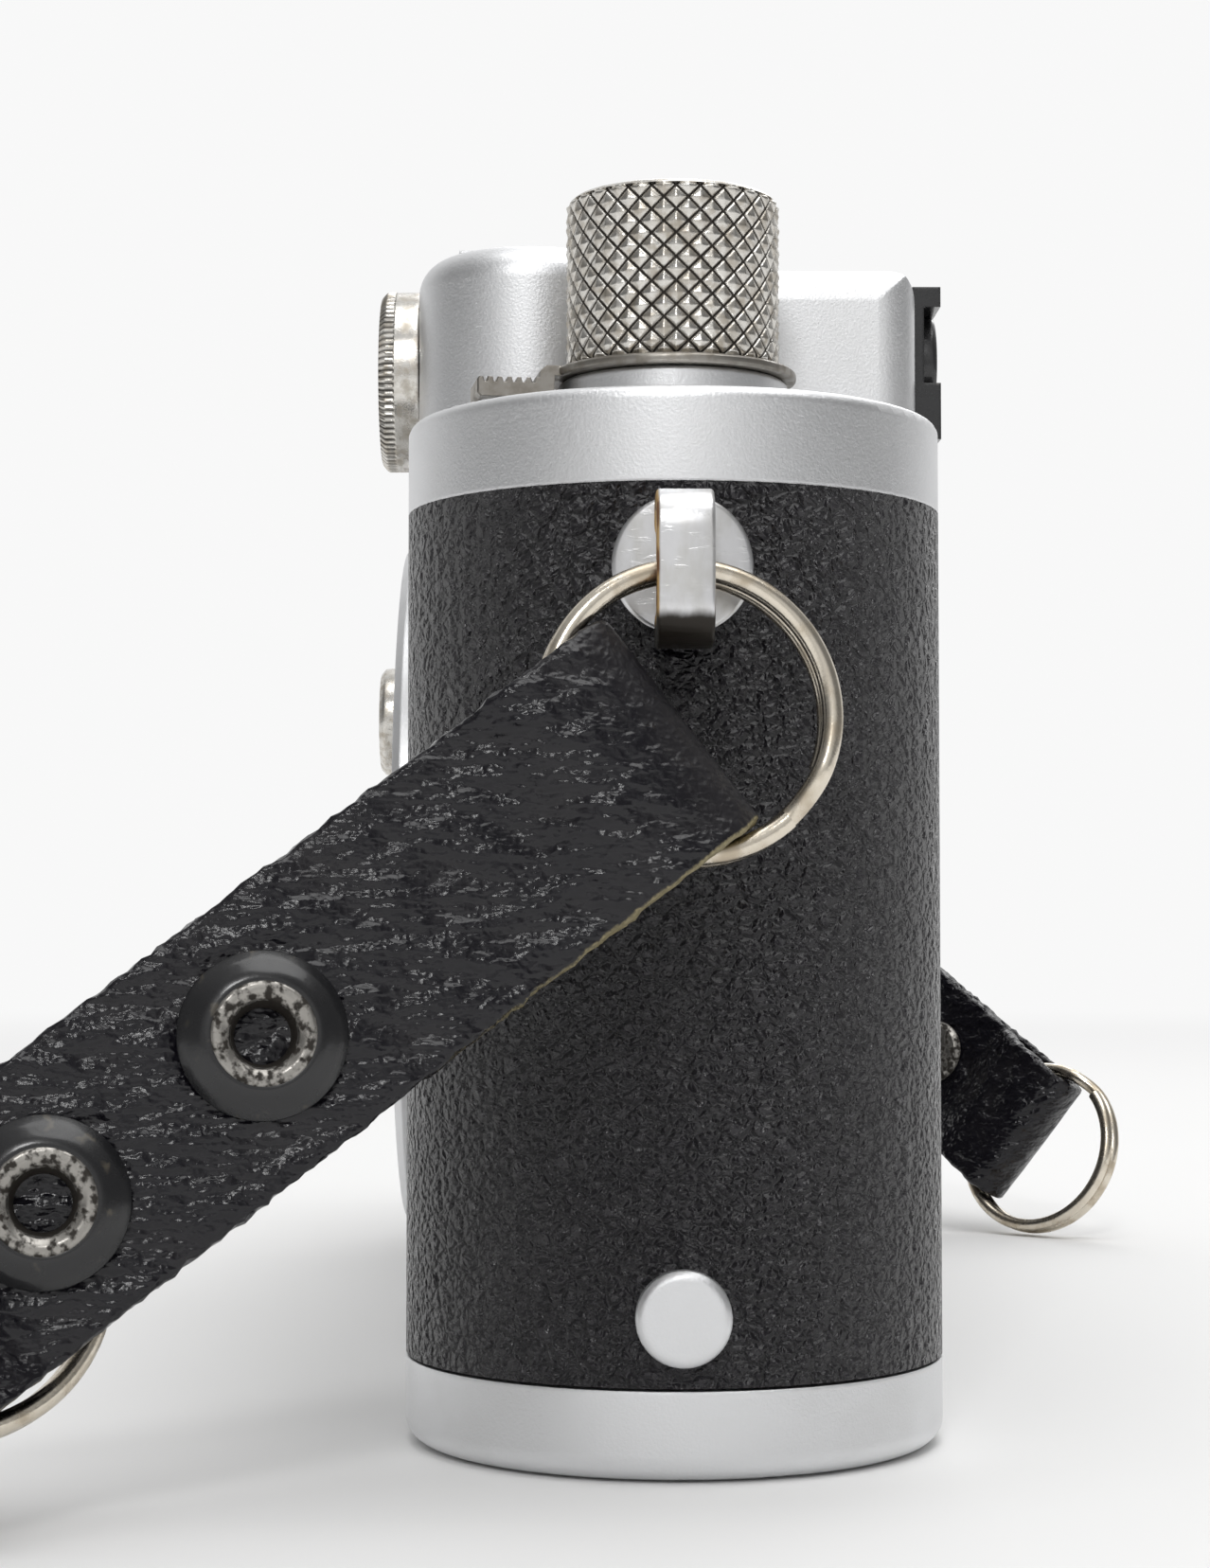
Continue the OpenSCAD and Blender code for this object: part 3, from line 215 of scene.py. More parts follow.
floor = bpy.data.objects.new("floor", bpy.data.meshes.new("floor"))
corners = [(x, y, -0.0001) for x, y in ((-4, -4), (4, -4), (4, 4), (-4, 4))]
floor.data.from_pydata(corners, [], [(0, 1, 2, 3)])
scene.collection.objects.link(floor)
paper = Finish("white_paper", (0.82, 0.82, 0.815), roughness=0.9)
paper.set(Base_Color=paper.blend(paper.cloud(0.12), (0.83, 0.83, 0.825), (0.81, 0.808, 0.805)))
away = paper.node("ShaderNodeVectorMath", {"operation": "LENGTH"}, {0: paper.place()}, out=1)
lit_paper = paper.node("ShaderNodeEmission", {}, {"Color": (0.94, 0.94, 0.94)})
sheet = paper.node("ShaderNodeMixShader", {}, {0: away.steps(0.1, 0.75) * paper.seen(),
                                               1: Wire(paper, paper.shader.outputs[0]),
                                               2: lit_paper})
paper.tree.links.new(sheet.socket, paper.tree.nodes["Material Output"].inputs[0])
floor.data.materials.append(paper.material)

sky = bpy.data.worlds.new("studio")
scene.world = sky
sky.use_nodes = True
room = Nodes(sky.node_tree, "Background")
towards = room.node("ShaderNodeTexCoord", out="Generated")
ahead = room.part(towards, 0)
upward = room.part(towards, 2)
window = ahead.steps(0.55, 0.97) * (0.55 + 0.45 * upward.steps(-0.1, 0.5))
backdrop = (-ahead).steps(0.1, 0.85)
on_matt = room.node("ShaderNodeLightPath", out="Is Diffuse Ray")
room_tone = 0.2 + 0.17 * on_matt + 0.6 * window + 0.66 * backdrop + 0.3 * upward.steps(0.5, 1.0)
direct = room.node("ShaderNodeLightPath", out="Is Camera Ray")
glazed = room.node("ShaderNodeLightPath", out="Is Transmission Ray")
white = direct.sum("MAXIMUM", direct, glazed)
room.set(Color=(1, 1, 1), Strength=room_tone * (1 - white) + 0.94 * white)


def dress(finish, *nodes):
    """Gives one finish to pieces whose shape is already right."""
    for name in nodes:
        mesh = frame["nodes"][name].data
        mesh.materials.clear()
        mesh.materials.append(finish.material)


def built(name, points, faces, finish, body, slot, stands_for=(), marks=None, crease=0.6):
    """Makes a piece from its points and faces, finished, riding and standing for CAD nodes."""
    mesh = bpy.data.meshes.new(name)
    mesh.from_pydata([tuple(p) for p in points], [], faces)
    for key, values in (marks or {}).items():
        mesh.attributes.new(key, "FLOAT", "POINT").data.foreach_set("value", np.ravel(values))
    form = bmesh.new()
    form.from_mesh(mesh)
    bmesh.ops.remove_doubles(form, verts=form.verts, dist=1e-7)
    bmesh.ops.recalc_face_normals(form, faces=form.faces)
    form.to_mesh(mesh)
    form.free()
    mesh.polygons.foreach_set("use_smooth", [True] * len(mesh.polygons))
    mesh.set_sharp_from_angle(angle=crease)
    mesh.materials.append(finish.material)
    piece = bpy.data.objects.new(name, mesh)
    scene.collection.objects.link(piece)
    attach(piece, body)
    if stands_for:
        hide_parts(*stands_for)
    return piece


def grid_faces(rows, columns, rows_close, columns_close, capped=False):
    """Quads between a grid's points, numbered row by row, with a face over each end row."""
    faces = []
    for i in range(rows if rows_close else rows - 1):
        for j in range(columns if columns_close else columns - 1):
            k = (i + 1) % rows
            m = (j + 1) % columns
            faces.append((i * columns + j, i * columns + m, k * columns + m, k * columns + j))
    if capped:
        faces += [tuple(range(columns)), tuple(range((rows - 1) * columns, rows * columns))]
    return faces


# ---------------------------------------------------------------- shutter and film path
# The light-tight crate is a blackened alloy casting.  The curtains are rubberised cloth on
# thin steel rollers, and the film runs between the gate and a sprung pressure plate.
blackened = Finish("blackened_alloy", (0.035, 0.035, 0.038), metallic=0.3, roughness=0.6)
blackened.set(Roughness=0.5 + 0.2 * blackened.cloud(0.8 * mm))
blackened.relief(blackened.cloud(0.25 * mm), 0.03 * mm, edge=0.15 * mm)
dress(blackened, "shutter_crate", "chassis_plate", "pressure_plate", "curtain_drum")

cloth = Finish("shutter_cloth", (0.02, 0.02, 0.022), roughness=0.8)
warp, weft = [cloth.node("ShaderNodeTexWave", {"bands_direction": way},
                         {"Vector": cloth.place(), "Scale": 1 / (2.5 * mm), "Distortion": 0.3})
              for way in ("X", "Z")]
weave = warp * weft
cloth.set(Base_Color=cloth.blend(weave, (0.014, 0.014, 0.016), (0.035, 0.035, 0.037)))
cloth.relief(weave, 0.02 * mm)
dress(cloth, "shutter_curtains")

steel = Finish("bright_steel", (0.62, 0.62, 0.61), metallic=1.0, roughness=0.25)
steel.set(Roughness=0.2 + 0.16 * steel.cloud(0.5 * mm, steel.place((1, 1, 6))))
steel.relief(steel.cloud(0.12 * mm), 0.006 * mm, edge=0.12 * mm)
dress(steel, "first_curtain_roller", "second_curtain_roller", "film_sprocket", "advance_shaft",
      "rewind_shaft", "release_spring", "base_lock_cam", "tripod_bush")

brass = Finish("machined_brass", (0.62, 0.44, 0.17), metallic=1.0, roughness=0.3)
brass.set(Roughness=0.25 + 0.2 * brass.cloud(0.6 * mm))
brass.relief(brass.cloud(0.1 * mm), 0.005 * mm, edge=0.1 * mm)
dress(brass, "rewind_sleeve", "advance_gear", "sprocket_gear", "drum_gear", "rangefinder_arm")

# ---------------------------------------------------------------- body shell and covering
# The shell is a drawn metal tube with a moulded black covering on it.  Its grain is a worn
# pebble with short creases, and high spots that handling has polished.
chrome = Finish("satin_chrome", (0.76, 0.765, 0.775), metallic=1.0, roughness=0.42)
frost = chrome.cloud(0.16 * mm, detail=2.0)
stain = chrome.cloud(7 * mm, detail=4.0).steps(0.45, 0.75)
scuff = chrome.cloud(0.5 * mm, chrome.place((1, 1, 12)), detail=4.0).steps(0.62, 0.75)
chrome.set(Base_Color=chrome.blend(stain * 0.25, (0.77, 0.775, 0.785), (0.66, 0.66, 0.65)))
chrome.set(Roughness=0.36 + 0.14 * frost + 0.06 * stain - 0.06 * scuff)
chrome.relief(frost + 0.3 * scuff, 0.016 * mm, edge=0.25 * mm)
dress(chrome, "body_shell", "top_cover", "rangefinder_housing", "base_plate", "base_lock_key",
      "base_key_bail", "rewind_boss", "accessory_shoe", "lens_flange", "slow_dial_plate",
      "viewfinder_frame", "release_collar", "reverse_lever", "release_button")

covering = Finish("body_leather", (0.018, 0.018, 0.02), roughness=0.42)
wander = covering.cloud(2.2 * mm, detail=2.0)
spot = covering.bent_place(1.4 * mm, 0.9 * mm, (1, 1, 1.3))
pebble = covering.cells(1.05 * mm, spot).steps(0.0, 0.32)
crease = covering.cells(0.5 * mm, spot).steps(0.0, 0.35)
fine = covering.cloud(0.16 * mm, detail=2.0)
lumps = covering.cloud(0.75 * mm, detail=1.0)
grain = 0.5 * pebble + 0.24 * crease + 0.1 * fine + 0.7 * lumps
polished = (pebble * wander.steps(0.35, 0.65)).steps(0.3, 1.0)
covering.set(Base_Color=covering.blend(grain, (0.004, 0.0035, 0.005), (0.013, 0.0115, 0.0145)))
covering.set(Roughness=0.24 - 0.12 * polished + 0.08 * fine)
covering.relief(grain, 0.62 * mm)
dress(covering, "leather_covering")

# ---------------------------------------------------------------- rangefinder housing trim
# Round screwed-in bezels with a coin-edge rim hold the window glasses.  Each is turned from
# nickel-plated brass; the glasses and the half-silvered mirror sit behind them.
glass = Finish("window_glass", (0.75, 0.82, 0.86), roughness=0.03, Transmission_Weight=1.0, IOR=1.5)
glass.set(Roughness=0.02 + 0.04 * glass.cloud(1.5 * mm))
dress(glass, "rf_window_glass", "viewfinder_glass", "rf_eyepiece_lens", "focusing_eyepiece_lens")
silvered = Finish("silvered_mirror", (0.85, 0.87, 0.9), metallic=1.0, roughness=0.04)
silvered.set(Roughness=0.03 + 0.04 * silvered.cloud(1 * mm))
dress(silvered, "rangefinder_mirror")

knurled = Finish("knurled_nickel", (0.6, 0.585, 0.56), metallic=1.0, roughness=0.3)
grime = knurled.mark("grime")
dirt = (grime * (0.6 + 0.8 * knurled.cloud(1.2 * mm))).steps(0.25, 0.75)
tarnish = knurled.cloud(0.7 * mm, detail=3.0).steps(0.35, 0.75)
metal_tone = knurled.blend(tarnish, (0.7, 0.68, 0.64), (0.44, 0.4, 0.34))
knurled.set(Base_Color=knurled.blend(dirt, metal_tone, (0.03, 0.024, 0.018)))
knurled.set(Metallic=1 - 0.85 * dirt, Roughness=0.2 + 0.16 * tarnish + 0.3 * dirt)
knurled.relief(knurled.cloud(0.1 * mm), 0.008 * mm)


def eased(outline, radius, steps=3):
    """Rounds the inner corners of an open outline of (radius, height) points."""
    points = [Vector(p) for p in outline]
    soft = [points[0]]
    for before, corner, after in zip(points, points[1:], points[2:]):
        back = before - corner
        ahead = after - corner
        reach = min(radius, back.length * 0.45, ahead.length * 0.45)
        start = corner + back.normalized() * reach
        finish = corner + ahead.normalized() * reach
        for i in range(steps + 1):
            t = i / steps
            soft.append((1 - t) ** 2 * start + 2 * t * (1 - t) * corner + t * t * finish)
    return soft + [points[-1]]


def dense(outline, step):
    """Adds points along an outline so that none of its runs is longer than a step."""
    points = [outline[0]]
    for before, after in zip(outline, outline[1:]):
        count = max(1, math.ceil((after - before).length / step))
        points += [before.lerp(after, i / count) for i in range(1, count + 1)]
    return points


def turned(outline, sides, placed, cut=None, ring=False):
    """Turns an outline about Z and places it; cut gives how deep each point is knurled."""
    radii, heights = np.array([tuple(p) for p in outline]).T
    angles = np.arange(sides) * 2 * math.pi / sides
    angle, radius = np.meshgrid(angles, radii, indexing="ij")
    height = np.broadcast_to(heights, radius.shape)
    depth = np.zeros_like(radius) if cut is None else cut(angle, height, radius)
    trimmed = radius - depth
    points = np.stack([trimmed * np.cos(angle), trimmed * np.sin(angle), height], -1)
    flat = [placed @ Vector(p) for p in points.reshape(-1, 3)]
    return flat, grid_faces(sides, len(radii), True, ring), depth


def zigzag(value):
    """1 at whole numbers and 0 halfway between them."""
    return np.abs(value % 1 - 0.5) * 2


def facing_front(x, y, z):
    """A frame at a point whose Z looks out of the camera's front."""
    return Matrix.Translation((x, y, z)) @ Matrix.Rotation(math.pi / 2, 4, "X")


def upright(x, y, z):
    return Matrix.Translation((x, y, z))


bezel_low, bezel_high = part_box("rf_bezels")
bezel_r = (bezel_high.z - bezel_low.z) / 2
bezel_z = (bezel_high.z + bezel_low.z) / 2
bezel_front = bezel_low.y
rim_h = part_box("rangefinder_housing")[0].y - bezel_low.y
bore_r = bezel_r - 1.4 * mm
bezel_outline = eased([(bore_r, -1.6 * mm), (bezel_r - 0.7 * mm, -1.6 * mm), (bezel_r - 0.7 * mm, 0),
                       (bezel_r, 0), (bezel_r, rim_h - 0.95 * mm), (bezel_r, rim_h - 0.35 * mm),
                       (bezel_r - 0.4 * mm, rim_h), (bore_r + 0.35 * mm, rim_h),
                       (bore_r, rim_h - 0.6 * mm), (bore_r, -1.6 * mm)], 0.12 * mm)


notch_deep = 0.13 * mm


def coin_edge(angle, height, radius):
    """Notches cut into a bezel's front rim."""
    rim = (height > rim_h - 0.95 * mm) & (radius > bezel_r - 0.42 * mm)
    return rim * notch_deep * (1 - zigzag(angle * 84 / math.tau)) ** 0.8


for side, x in (("left", bezel_low.x + bezel_r), ("right", bezel_high.x - bezel_r)):
    placed = facing_front(x, bezel_front + rim_h, bezel_z)
    points, faces, depth = turned(dense(bezel_outline, 0.3 * mm), 672, placed, coin_edge, ring=True)
    marks = {"grime": 0.7 * depth / notch_deep}
    nodes = ("rf_bezels",) if side == "left" else ()
    built("bezel_" + side, points, faces, knurled, "camera_body", "knurled_nickel", nodes, marks)

# ---------------------------------------------------------------- eyepiece
# A black enamelled block is screwed to the back of the housing, with two turned eye rings.
enamel = Finish("black_enamel", (0.014, 0.014, 0.015), roughness=0.22, Coat_Weight=0.4)
chip = enamel.cloud(1.4 * mm, detail=5.0).steps(0.66, 0.7)
enamel.set(Base_Color=enamel.blend(chip * 0.35, (0.013, 0.013, 0.014), (0.18, 0.17, 0.15)))
enamel.set(Roughness=0.2 + 0.16 * enamel.cloud(0.4 * mm))
enamel.relief(enamel.cloud(0.3 * mm), 0.01 * mm, edge=0.25 * mm)
dress(enamel, "eyepiece_block", "take_up_spool")

milli = Matrix.Scale(mm, 4)


def facing_back(x, y, z):
    """A frame at a point whose Z looks out of the camera's back."""
    return Matrix.Translation((x, y, z)) @ Matrix.Rotation(-math.pi / 2, 4, "X")


eyepiece_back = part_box("eyepiece_block")[1].y
for name, node in (("viewing", "rf_eyepiece_lens"), ("focusing", "focusing_eyepiece_lens")):
    low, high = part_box(node)
    placed = facing_back((low.x + high.x) / 2, eyepiece_back - 0.75 * mm, (low.z + high.z) / 2) @ milli
    outline = [(2.72, -0.6), (3.25, -0.6), (3.25, 0.45), (3.0, 0.72), (2.72, 0.5), (2.72, -0.6)]
    points, faces, depth = turned(eased(outline, 0.1), 72, placed, ring=True)
    built(name + "_eye_ring", points, faces, enamel, "camera_body", "black_enamel")

# ---------------------------------------------------------------- accessory shoe
# The shoe is bent from sheet brass and chromed.  Four slotted screws with low heads hold its
# floor to the housing.
bright = Finish("polished_screw", (0.66, 0.65, 0.63), metallic=1.0, roughness=0.2)
bright.set(Roughness=0.16 + 0.2 * bright.cloud(0.3 * mm, detail=4.0))
bright.relief(bright.cloud(0.08 * mm), 0.004 * mm)


def screw_head(radius, height, slot_w, slot_d, placed):
    """A slotted head that stands on Z = 0, in slices from one side to the other."""
    rim = 0.18 * radius
    slices = [radius * math.sin(math.radians(a)) for a in range(-88, 89, 8)]
    slices += [side * slot_w / 2 + step for side in (-1, 1) for step in (-0.01, 0.01)]
    across = np.sin(np.linspace(-1, 1, 13) * math.pi / 2)
    points = []
    for x in sorted(slices):
        half = math.sqrt(radius ** 2 - x ** 2)
        for y in across * half:
            past = max(0, math.hypot(x, y) - radius + rim)
            top = height - 0.7 * past ** 2 / rim
            points.append((x, y, min(top, height - slot_d) if abs(x) < slot_w / 2 else top))
        points += [(x, y, 0) for y in across[::-1] * half]
    faces = grid_faces(len(slices), 2 * len(across), False, True, capped=True)
    return [placed @ Vector(p) for p in points], faces


def gathered(parts):
    """Several separate forms as one list of points and one of faces."""
    points, faces = [], []
    for more_points, more_faces in parts:
        start = len(points)
        points += more_points
        faces += [tuple(start + i for i in face) for face in more_faces]
    return points, faces


screw_r = 1.2 * mm
shoe_low, shoe_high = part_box("shoe_screws")
heads = []
for x in (shoe_low.x + screw_r, shoe_high.x - screw_r):
    for y in (shoe_low.y + screw_r, shoe_high.y - screw_r):
        slot_turn = Matrix.Rotation(x * 9e3 + y * 5e3, 4, "Z")
        placed = upright(x, y, shoe_high.z - 0.55 * mm) @ slot_turn @ milli
        heads.append(screw_head(1.2, 0.55, 0.32, 0.3, placed))
built("shoe_screw_heads", *gathered(heads), bright, "camera_body", "bright_steel", ("shoe_screws",))

# ---------------------------------------------------------------- lens mount
# The flange is a turned ring, ground to its exact distance from the film and screwed to the
# body by four slotted screws.  Its bore carries the fine 39 mm lens thread.
flange_low, flange_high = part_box("lens_flange")
lens_z = (flange_low.z + flange_high.z) / 2
thread_pitch = 25.4 / 26
thread_h = 4.0
thread_root = 19.24
thread_run = [Vector((thread_root - 0.02, thread_pitch * i / 8))
              for i in range(int(thread_h / thread_pitch * 8))]
thread_outline = [Vector((thread_root, 0)), *thread_run, Vector((thread_root, thread_run[-1].y))]


def ridges(angle, height, radius):
    """How far the thread stands in from its root, climbing one pitch in a turn."""
    ends = np.minimum(height, thread_run[-1].y - height).clip(0, 0.4) / 0.4
    climb = zigzag(height / thread_pitch - angle / math.tau)
    return (radius < thread_root - 0.01) * 0.34 * ends * climb


placed = facing_front(0, flange_high.y - 0.1 * mm, lens_z) @ milli
points, faces, depth = turned(thread_outline, 240, placed, ridges, ring=True)
built("lens_thread", points, faces, steel, "camera_body", "satin_chrome")

screw_low, screw_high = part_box("flange_screws")
screw_out = (screw_high.x - screw_low.x) / 2 - 1.4 * mm
heads = []
for sx, sz in ((-1, -1), (-1, 1), (1, -1), (1, 1)):
    at = facing_front(sx * screw_out, screw_low.y + 0.6 * mm, lens_z + sz * screw_out)
    slot_turn = Matrix.Rotation(sx * 1.1 + sz * 0.4, 4, "Z")
    heads.append(screw_head(1.4, 0.6, 0.36, 0.34, at @ slot_turn @ milli))
built("flange_screw_heads", *gathered(heads), bright, "camera_body", "bright_steel", ("flange_screws",))

# ---------------------------------------------------------------- slow speed dial
# A round dial at the front with a straight-cut grip and a smaller raised face.  Its numbers
# are engraved and filled with black.
ink = Finish("engraving_black", (0.012, 0.012, 0.012), roughness=0.55)
ink.set(Roughness=0.5 + 0.2 * ink.cloud(0.3 * mm))


def figures(words, height, placed):
    """Plain figures as thin flat forms in the XY plane, with their middle at the origin."""
    curve = bpy.data.curves.new("figures", "FONT")
    curve.body = words
    curve.size = height
    curve.align_x = "CENTER"
    curve.align_y = "CENTER"
    curve.extrude = 0.012
    text = bpy.data.objects.new("figures", curve)
    scene.collection.objects.link(text)
    seen_shape = text.evaluated_get(bpy.context.evaluated_depsgraph_get())
    mesh = bpy.data.meshes.new_from_object(seen_shape)
    points = [placed @ v.co for v in mesh.vertices]
    faces = [tuple(f.vertices) for f in mesh.polygons]
    bpy.data.objects.remove(text)
    bpy.data.meshes.remove(mesh)
    return points, faces


def inlay(outline, height, placed):
    """A thin flat form over an outline in the XY plane."""
    count = len(outline)
    points = [placed @ Vector((x, y, z)) for z in (0, height) for x, y in outline]
    faces = [tuple(range(count))[::-1], tuple(range(count, 2 * count))]
    faces += [(i, (i + 1) % count, (i + 1) % count + count, i + count) for i in range(count)]
    return points, faces


def around(placed, angle, radius, height):
    """A frame at a place round an axis, with its Y pointing outwards."""
    turn = Matrix.Rotation(angle - math.pi / 2, 4, "Z")
    return placed @ turn @ Matrix.Translation((0, radius, height))


def grip(count, deep, low, high, edge_r):
    """Straight grooves cut into a rim between two heights."""
    def cut(angle, height, radius):
        on_rim = (height > low) & (height < high) & (radius > edge_r)
        return on_rim * deep * (1 - zigzag(angle * count / math.tau)) ** 1.3
    return cut


def gripped(name, outline, step, sides, placed, cut, deep, floor, body, node):
    """A turned nickel piece with a grip; its grooves hold grime below a floor, a share of deep."""
    points, faces, depth = turned(dense(outline, step), sides, placed, cut)
    grime = (depth / deep - floor).clip(0, 1) * (2.4 if floor else 1)
    built(name, points, faces, knurled, body, "knurled_nickel", (node,), {"grime": grime})


def standing(node):
    """A frame in millimetres at the foot of an upright round piece, its radius and height."""
    low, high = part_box(node)
    foot = upright((low.x + high.x) / 2, (low.y + high.y) / 2, low.z) @ milli
    return foot, (high.x - low.x) / 2 / mm, (high.z - low.z) / mm


dial_low, dial_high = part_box("slow_speed_dial")
dial_r = (dial_high.x - dial_low.x) / 2 / mm
dial_middle = (dial_low + dial_high) / 2
slow = facing_front(dial_middle.x, dial_low.y + 7 * mm, dial_middle.z) @ milli
slow_outline = eased([(1.5, -2.6), (1.5, 1.1), (dial_r - 0.5, 1.1), (dial_r, 1.5), (dial_r, 4.3),
                      (dial_r - 0.6, 4.9), (dial_r - 2.2, 4.9), (dial_r - 2.3, 6.6), (dial_r - 2.8, 7),
                      (1.7, 7), (1.5, 6.75), (0.001, 6.75)], 0.15)
slow_grip = grip(64, 0.24, 1.45, 4.5, dial_r - 0.4)
gripped("slow_dial", slow_outline, 0.3, 640, slow, slow_grip, 0.24, 0, "slow_speed", "slow_speed_dial")
slow_speeds = ("1", "2", "4", "8", "20")
marks = [figures(words, 1.5, around(slow, math.radians(90 + 50 * i), dial_r - 3.75, 7.0))
         for i, words in enumerate(slow_speeds)]
built("slow_dial_figures", *gathered(marks), ink, "slow_speed", "black_enamel")

# ---------------------------------------------------------------- film advance
# The advance knob is turned brass, nickelled, with a diamond grip.  The frame counter lies
# under it with forty divisions, and both turn on the take-up spool's shaft.
def diamonds(round_count, row_h, deep, low, high, edge_r):
    """Two crossing families of grooves that leave small pointed diamonds between them."""
    def cut(angle, height, radius):
        on_rim = (height > low) & (height < high) & (radius > edge_r)
        along = angle * round_count / math.tau
        rise = (height - low) / row_h
        near = 1 - np.maximum(zigzag(along + rise), zigzag(along - rise))
        groove = (1 - near / 0.36).clip(0, 1) ** 1.1
        slope = 0.55 * (1 - near)
        return on_rim * deep * np.maximum(groove, slope)
    return cut


advance, advance_r, advance_h = standing("advance_knob")
advance_outline = eased([(2.1, 0), (advance_r - 0.5, 0), (advance_r - 0.5, 0.8), (advance_r, 1.05),
                         (advance_r, advance_h - 0.6), (advance_r - 0.6, advance_h),
                         (advance_r - 1.5, advance_h), (advance_r - 1.7, advance_h - 0.25),
                         (advance_r - 3.1, advance_h - 0.25), (advance_r - 3.3, advance_h),
                         (0.001, advance_h)], 0.15)
advance_grip = diamonds(42, 1.32, 0.3, 1.2, advance_h - 0.7, advance_r - 0.3)
gripped("advance_grip", advance_outline, 0.11, 672, advance, advance_grip, 0.3, 0.4, "advance",
        "advance_knob")
arrow = [(-0.22, -1.5), (0.22, -1.5), (0.22, 0.3), (0.75, 0.3), (0, 1.5), (-0.75, 0.3), (-0.22, 0.3)]
arrow_place = advance @ Matrix.Translation((0, 2.6, advance_h))
points, faces = inlay([(y * 1.1, x) for x, y in arrow], 0.015, arrow_place)
built("advance_arrow", points, faces, ink, "advance", "black_enamel")

dress(chrome, "frame_counter_dial")
counter, counter_r, counter_h = standing("frame_counter_dial")
slope = math.atan2(1.4, counter_r - advance_r + 0.6)
marks = []
for i in range(40):
    lean = Matrix.Rotation(-slope, 4, "X")
    at = around(counter, -math.tau * i / 40, counter_r - 0.9, 1.42) @ lean
    half = 0.55 if i % 5 else 0.85
    marks.append(inlay([(-0.055, -half), (0.055, -half), (0.055, half), (-0.055, half)], 0.024, at))
built("counter_divisions", *gathered(marks), ink, "frame_counter", "black_enamel")

# ---------------------------------------------------------------- speed dial and release
# The speed dial has a grip round its lower edge and numbers on its top.  The release button
# has a dished top and stands in a threaded collar.
speed, speed_r, speed_h = standing("speed_dial")
speed_outline = eased([(2.1, 0), (speed_r - 0.5, 0), (speed_r, 0.45), (speed_r, 3.2),
                       (speed_r - 0.5, 3.7), (speed_r - 0.55, speed_h - 0.4),
                       (speed_r - 0.9, speed_h), (0.9, speed_h), (0.7, speed_h - 0.15),
                       (0.001, speed_h - 0.15)], 0.15)
speed_grip = grip(60, 0.24, 0.5, 3.4, speed_r - 0.35)
gripped("speed_grip", speed_outline, 0.3, 600, speed, speed_grip, 0.24, 0, "speed_setting",
        "speed_dial")
fast_speeds = ("20", "30", "40", "60", "100", "200", "500")
marks = [figures(words, 1.35, around(speed, math.radians(80 - 48 * i), speed_r - 2.2, speed_h))
         for i, words in enumerate(fast_speeds)]
built("speed_figures", *gathered(marks), ink, "speed_setting", "black_enamel")

button_foot, button_r, button_h = standing("release_button")
button = button_foot @ Matrix.Translation((0, 0, button_h))
button_outline = eased([(0.001, -4.1), (1.3, -4.1), (1.3, -1.95), (2.5, -1.95), (2.5, -0.35), (2.15, 0),
                        (1.8, -0.02), (0.9, -0.22), (0.001, -0.28)], 0.12)
points, faces, depth = turned(button_outline, 96, button)
built("release_plunger", points, faces, bright, "release", "bright_steel", ("release_button",))

collar, collar_r, collar_h = standing("release_collar")
collar_outline = eased([(1.42, 0), (4.1, 0), (4.1, 0.95), (3.6, 1.2), (3.6, collar_h - 0.1),
                        (3.45, collar_h), (2.7, collar_h), (2.62, collar_h - 0.15), (2.62, 0.5),
                        (1.42, 0.5), (1.42, 0)], 0.1)


def collar_thread(angle, height, radius):
    return ((height > 1.35) & (radius > 3.5)) * 0.1 * zigzag(height / 0.42 - angle / math.tau)


points, faces, depth = turned(dense(collar_outline, 0.1), 144, collar, collar_thread, ring=True)
built("release_guard", points, faces, chrome, "camera_body", "bright_steel", ("release_collar",))

# ---------------------------------------------------------------- rewind knob and lever
# The rewind knob is a nickelled drum with a coarse diamond grip, dark with old grime.  Under
# it lies the thin disc of the focusing lever, with a lowered serrated tip.
rewind, rewind_r, rewind_h = standing("rewind_knob")
rewind_x = rewind.translation.x
rewind_outline = eased([(2.96, 0), (rewind_r - 0.3, 0), (rewind_r, 0.3), (rewind_r, rewind_h - 0.4),
                        (rewind_r - 0.4, rewind_h), (2.0, rewind_h), (1.85, rewind_h - 0.12),
                        (0.001, rewind_h - 0.12)], 0.12)
rewind_grip = diamonds(27, 1.31, 0.34, 0.05, rewind_h - 0.25, rewind_r - 0.4)
gripped("rewind_grip", rewind_outline, 0.09, 540, rewind, rewind_grip, 0.34, 0.4, "rewind",
        "rewind_knob")

dark_nickel = Finish("lever_nickel", (0.5, 0.48, 0.44), metallic=1.0, roughness=0.35)
handled = dark_nickel.cloud(0.9 * mm, detail=4.0).steps(0.35, 0.7)
dark_nickel.set(Base_Color=dark_nickel.blend(handled, (0.36, 0.34, 0.31), (0.24, 0.22, 0.19)))
dark_nickel.set(Roughness=0.3 + 0.2 * handled)
dark_nickel.relief(handled, 0.008 * mm, edge=0.08 * mm)
joints = {joint["name"]: joint for joint in frame["joints"]}
lever_z = joints["focusing_lever_turn"]["pos_m"][2]
lever_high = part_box("focusing_lever")[1]
lever = upright(rewind_x, 0, lever_z) @ milli
disc_r = lever_high.x / mm - rewind_x / mm
disc_outline = eased([(4.08, 0), (disc_r - 0.12, 0), (disc_r, 0.12), (disc_r, 0.45),
                      (disc_r - 0.2, 0.6), (4.08, 0.6), (4.08, 0)], 0.08)
disc_points, disc_faces, depth = turned(disc_outline, 160, lever, ring=True)
tip_w = 3.6
tip_end = 11.2
tip_middle = Vector((9.0, -0.65))
notch_pitch = 0.55
